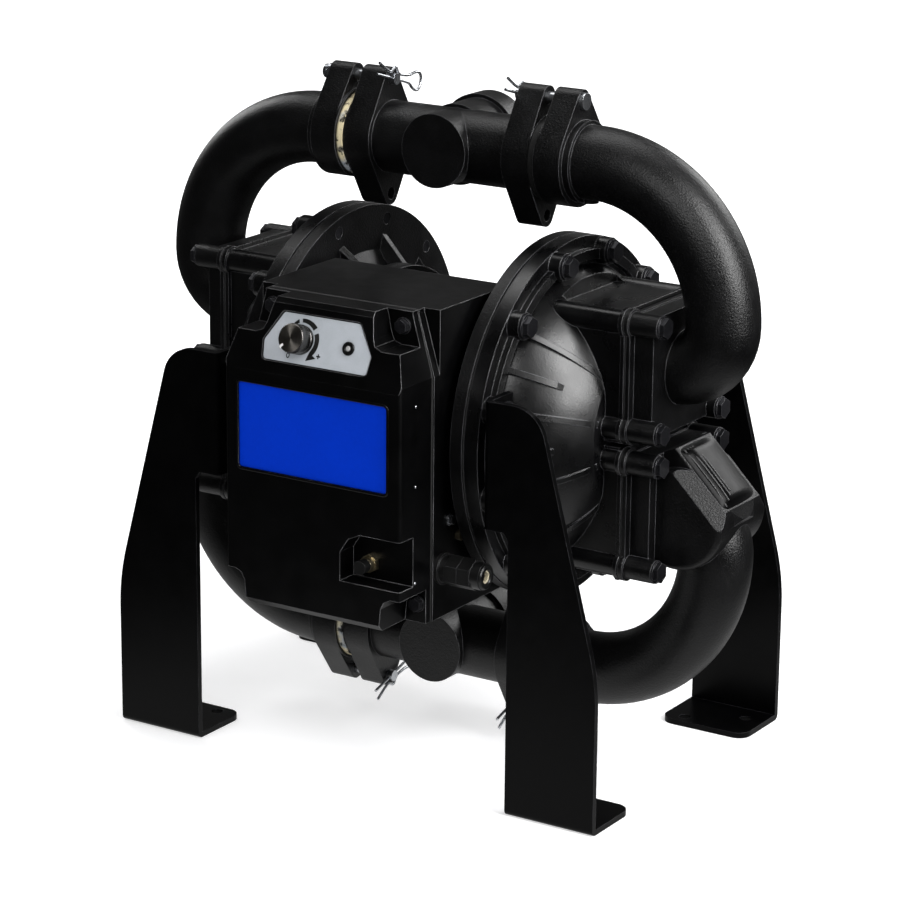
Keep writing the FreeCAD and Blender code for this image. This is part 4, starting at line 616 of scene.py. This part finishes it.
def collar_shape(made):
    profile = [
        (0.01, -0.4), (6.6, -0.4), (6.9, 0.2), (6.9, 2.0), (6.4, 2.5), (5.2, 2.7),
        (5.2, 3.5), (6.0, 3.9), (6.0, 6.4), (5.3, 7.1), (0.01, 7.3),
    ]
    revolve(made, profile, 48)


outward = along_x(PIN_END, 0, PIN_HEIGHT) @ Matrix.Rotation(math.pi, 4, "X")
dress(piece("pin_collar", collar_shape, outward, 40), "pump_frame", "zinc", "zinc")

# nose ring of the cable gland, with two turned grooves
gland_low, gland_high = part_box("cable_gland_nut")
gland_y, gland_z = ((gland_low[n] + gland_high[n]) / 2 / MM for n in (1, 2))
gland_end = along_x(gland_high[0] / MM, gland_y, gland_z)


def nose_shape(made):
    profile = [
        (5.4, -2.5), (5.4, 1.6), (6.2, 2.3), (9.4, 2.3), (10.4, 1.5), (10.6, 0.2), (9.9, -0.5),
        (9.9, -1.5), (10.7, -2.2), (10.7, -4.2), (10.1, -4.8), (9.9, -5.2), (8.4, -5.2), (8.4, -2.5),
    ]
    revolve(made, profile, 72)


def lip_shape(made):
    revolve(made, [(4.3, -3), (4.3, 0.3), (4.8, 0.9), (5.4, 0.8), (5.4, -3)], 48)


dress(piece("gland_nose", nose_shape, gland_end, 30), "pump_frame", "plastic_black", "plastic_black")
dress(piece("gland_lip", lip_shape, gland_end, 30), "pump_frame", "seal", "seal")

# small rivet heads on the control cover's right side
RIVET_Y = -188
RIVET_HEIGHTS = (337.5, 272, 192)
OUTSIDE_X = 0.3
cover = frame["nodes"]["control_cover"]


def rivet_shape(made):
    for z in RIVET_HEIGHTS:
        hit, spot = cover.ray_cast(Vector((OUTSIDE_X, RIVET_Y * MM, z * MM)), Vector((-1, 0, 0)))[:2]
        if not hit:
            continue
        before = set(made.verts)
        revolve(made, [(1.3, -0.3), (1.3, 0.1), (1.1, 0.45), (0.7, 0.7), (0.01, 0.8)], 20)
        fresh = [v for v in made.verts if v not in before]
        bmesh.ops.transform(made, matrix=along_x(spot.x / MM, RIVET_Y, z), verts=fresh)


dress(piece("cover_rivets", rivet_shape, None, 40), "pump_frame", "zinc", "zinc")

# ridged pads on the slanted flats of the lower elbows: ridge near the front, long fall to the back
PAD_HALF = 27.8
PAD_RIDGE = -15
PAD_RISE = 5.5
PAD_EASE = 9
PAD_SINK = 0.4
PAD_DEPTH = 1.2
PAD_ROWS = 25
PAD_MIDDLE = 34
RAILS = (-23.5, -19.5, -15.5, -11.5)
RAIL = 0.95


def pad_height(along, across, length):
    """Height over the flat, along and across the slope."""
    edge = PAD_HALF * (1 if across > PAD_RIDGE else -1)
    share = (across - PAD_RIDGE) / (edge - PAD_RIDGE)
    rise = PAD_RISE * (1 - share * share)
    end = min(1, min(along, length - along) / PAD_EASE)
    return rise * end * end * (3 - 2 * end) - PAD_SINK


def flats_of_elbows():
    """Each lower elbow's flat: its normal, its slope, its level and where it starts and ends."""
    for side, name in ((1, "elbow_lower_right"), (-1, "elbow_lower_left")):
        normal, slope = Vector((side, 0, 1)).normalized(), Vector((side, 0, -1)).normalized()
        mesh = frame["nodes"][name].data
        flats = {}
        for face in mesh.polygons:
            if face.normal.dot(normal) > 0.9999:
                flats.setdefault(round(face.center.dot(normal) / MM, 1), []).append(face)
        level = max(flats, key=lambda n: sum(face.area for face in flats[n]))
        places = [mesh.vertices[n].co.dot(slope) / MM for face in flats[level] for n in face.vertices]
        yield normal, slope, level, min(places) + 0.3, max(places) - 0.3


def pad_shape(made):
    for normal, slope, level, first, last in flats_of_elbows():
        rows = []
        for row in range(PAD_ROWS):
            along = (last - first) * row / (PAD_ROWS - 1)
            line = []
            for column in range(-PAD_MIDDLE, PAD_MIDDLE + 1):
                across = PAD_HALF * column / PAD_MIDDLE
                base = slope * (first + along) + Vector((0, across, 0))
                top = base + normal * (level + pad_height(along, across, last - first))
                line.append((made.verts.new(top), made.verts.new(base + normal * (level - PAD_DEPTH))))
            rows.append(line)
        strips = PAD_MIDDLE * 2
        for one, two in zip(rows, rows[1:]):
            for n in range(strips):
                for k in (0, 1):
                    made.faces.new((one[n][k], one[n + 1][k], two[n + 1][k], two[n][k]))
            for n in (0, strips):
                made.faces.new((one[n][0], two[n][0], two[n][1], one[n][1]))
        for line in (rows[0], rows[-1]):
            for n in range(strips):
                made.faces.new((line[n][0], line[n + 1][0], line[n + 1][1], line[n][1]))


dress(piece("heel_pads", pad_shape, Matrix.Scale(MM, 4), 60), "pump_frame", "leg_black", "cast_black")


def rail_lines():
    """Four rails along each pad, each a little shorter than the one before."""
    for normal, slope, level, first, last in flats_of_elbows():
        length = last - first
        for n, across in enumerate(RAILS):
            points = []
            for share in (0.06, 0.25, 0.5, 0.75, 0.95 - 0.05 * n):
                rise = level + pad_height(share * length, across, length)
                points.append(slope * (first + share * length) + Vector((0, across, 0)) + normal * rise)
            yield points


dress(wires("heel_rails", RAIL, rail_lines()), "pump_frame", "dome_black", "cast_black")


# raised frame round the plain blue plate
PLATE_HALF = 71.6
PLATE_LOW = 268.6
PLATE_HIGH = 340.2
PLATE_CORNER = 3.2
CORNER_STEPS = 9
# how far each ring of the frame stands out round the plate, and in front of the cover
FRAME_RINGS = ((-0.2, 0.3), (0.1, 0.7), (0.9, 0.75), (1.7, 0.6), (2.1, 0.0), (2.1, -0.4))


def frame_shape(made):
    rows = []
    for grow, rise in FRAME_RINGS:
        half, low, high, corner = PLATE_HALF + grow, PLATE_LOW - grow, PLATE_HIGH + grow, PLATE_CORNER + grow
        row = []
        for x, z, first in (
            (half - corner, high - corner, 0),
            (corner - half, high - corner, 90),
            (corner - half, low + corner, 180),
            (half - corner, low + corner, 270),
        ):
            for n in range(CORNER_STEPS):
                angle = math.radians(first + n * 90 / (CORNER_STEPS - 1))
                spot = (x + corner * math.cos(angle), COVER_FRONT - rise, z + corner * math.sin(angle))
                row.append(made.verts.new(spot))
        rows.append(row)
    for one, two in zip(rows, rows[1:]):
        for n in range(len(one)):
            m = (n + 1) % len(one)
            made.faces.new((one[n], one[m], two[m], two[n]))


dress(piece("label_frame", frame_shape, Matrix.Scale(MM, 4), 50), "pump_frame", "cover_black", "cover_black")


# floor
def floor_material():
    """White for the camera and for glass; glossy rays see painted light instead of the lit floor, a pool of
    emitted light near the object that fades out further away.
    """
    made, nodes, links = new_material("floor_white")
    place = nodes.new("ShaderNodeTexCoord")
    patches = noise(nodes, links, place.outputs["Object"], 3, 2)
    diffuse = nodes.new("ShaderNodeBsdfDiffuse")
    tone = mixed_tone(nodes, links, patches, (0.80, 0.80, 0.81), (0.82, 0.82, 0.83))
    links.new(tone, diffuse.inputs["Color"])
    far = nodes.new("ShaderNodeVectorMath")
    far.operation = "LENGTH"
    links.new(place.outputs["Object"], far.inputs[0])
    glows = []
    # the second glow is painted light, seen only by glossy rays: bright near the object, fading to almost
    # nothing further out
    for low, high, start, end in ((0.42, 1.0, 0.5, 2.2), (0.55, 0.03, 0.36, 0.62)):
        glow = nodes.new("ShaderNodeEmission")
        strength = ranged(nodes, links, far.outputs["Value"], low, high, start, end)
        links.new(strength, glow.inputs["Strength"])
        glows.append(glow)
    shown, glossy = ray_kinds(nodes, links)
    lit = nodes.new("ShaderNodeAddShader")
    links.new(diffuse.outputs[0], lit.inputs[0])
    links.new(glows[0].outputs[0], lit.inputs[1])
    seen = chosen(nodes, links, shown, diffuse.outputs[0], lit.outputs[0])
    out = nodes.new("ShaderNodeOutputMaterial")
    links.new(chosen(nodes, links, glossy, seen, glows[1].outputs[0]), out.inputs[0])
    return made


FLOOR_HALF = 8
ground = bpy.data.meshes.new("floor")
corners = [(x * FLOOR_HALF, y * FLOOR_HALF, 0) for x, y in ((-1, -1), (1, -1), (1, 1), (-1, 1))]
ground.from_pydata(corners, [], [(0, 1, 2, 3)])
ground.materials.append(floor_material())
floor = bpy.data.objects.new("floor", ground)
bpy.context.collection.objects.link(floor)

bpy.context.view_layer.update()
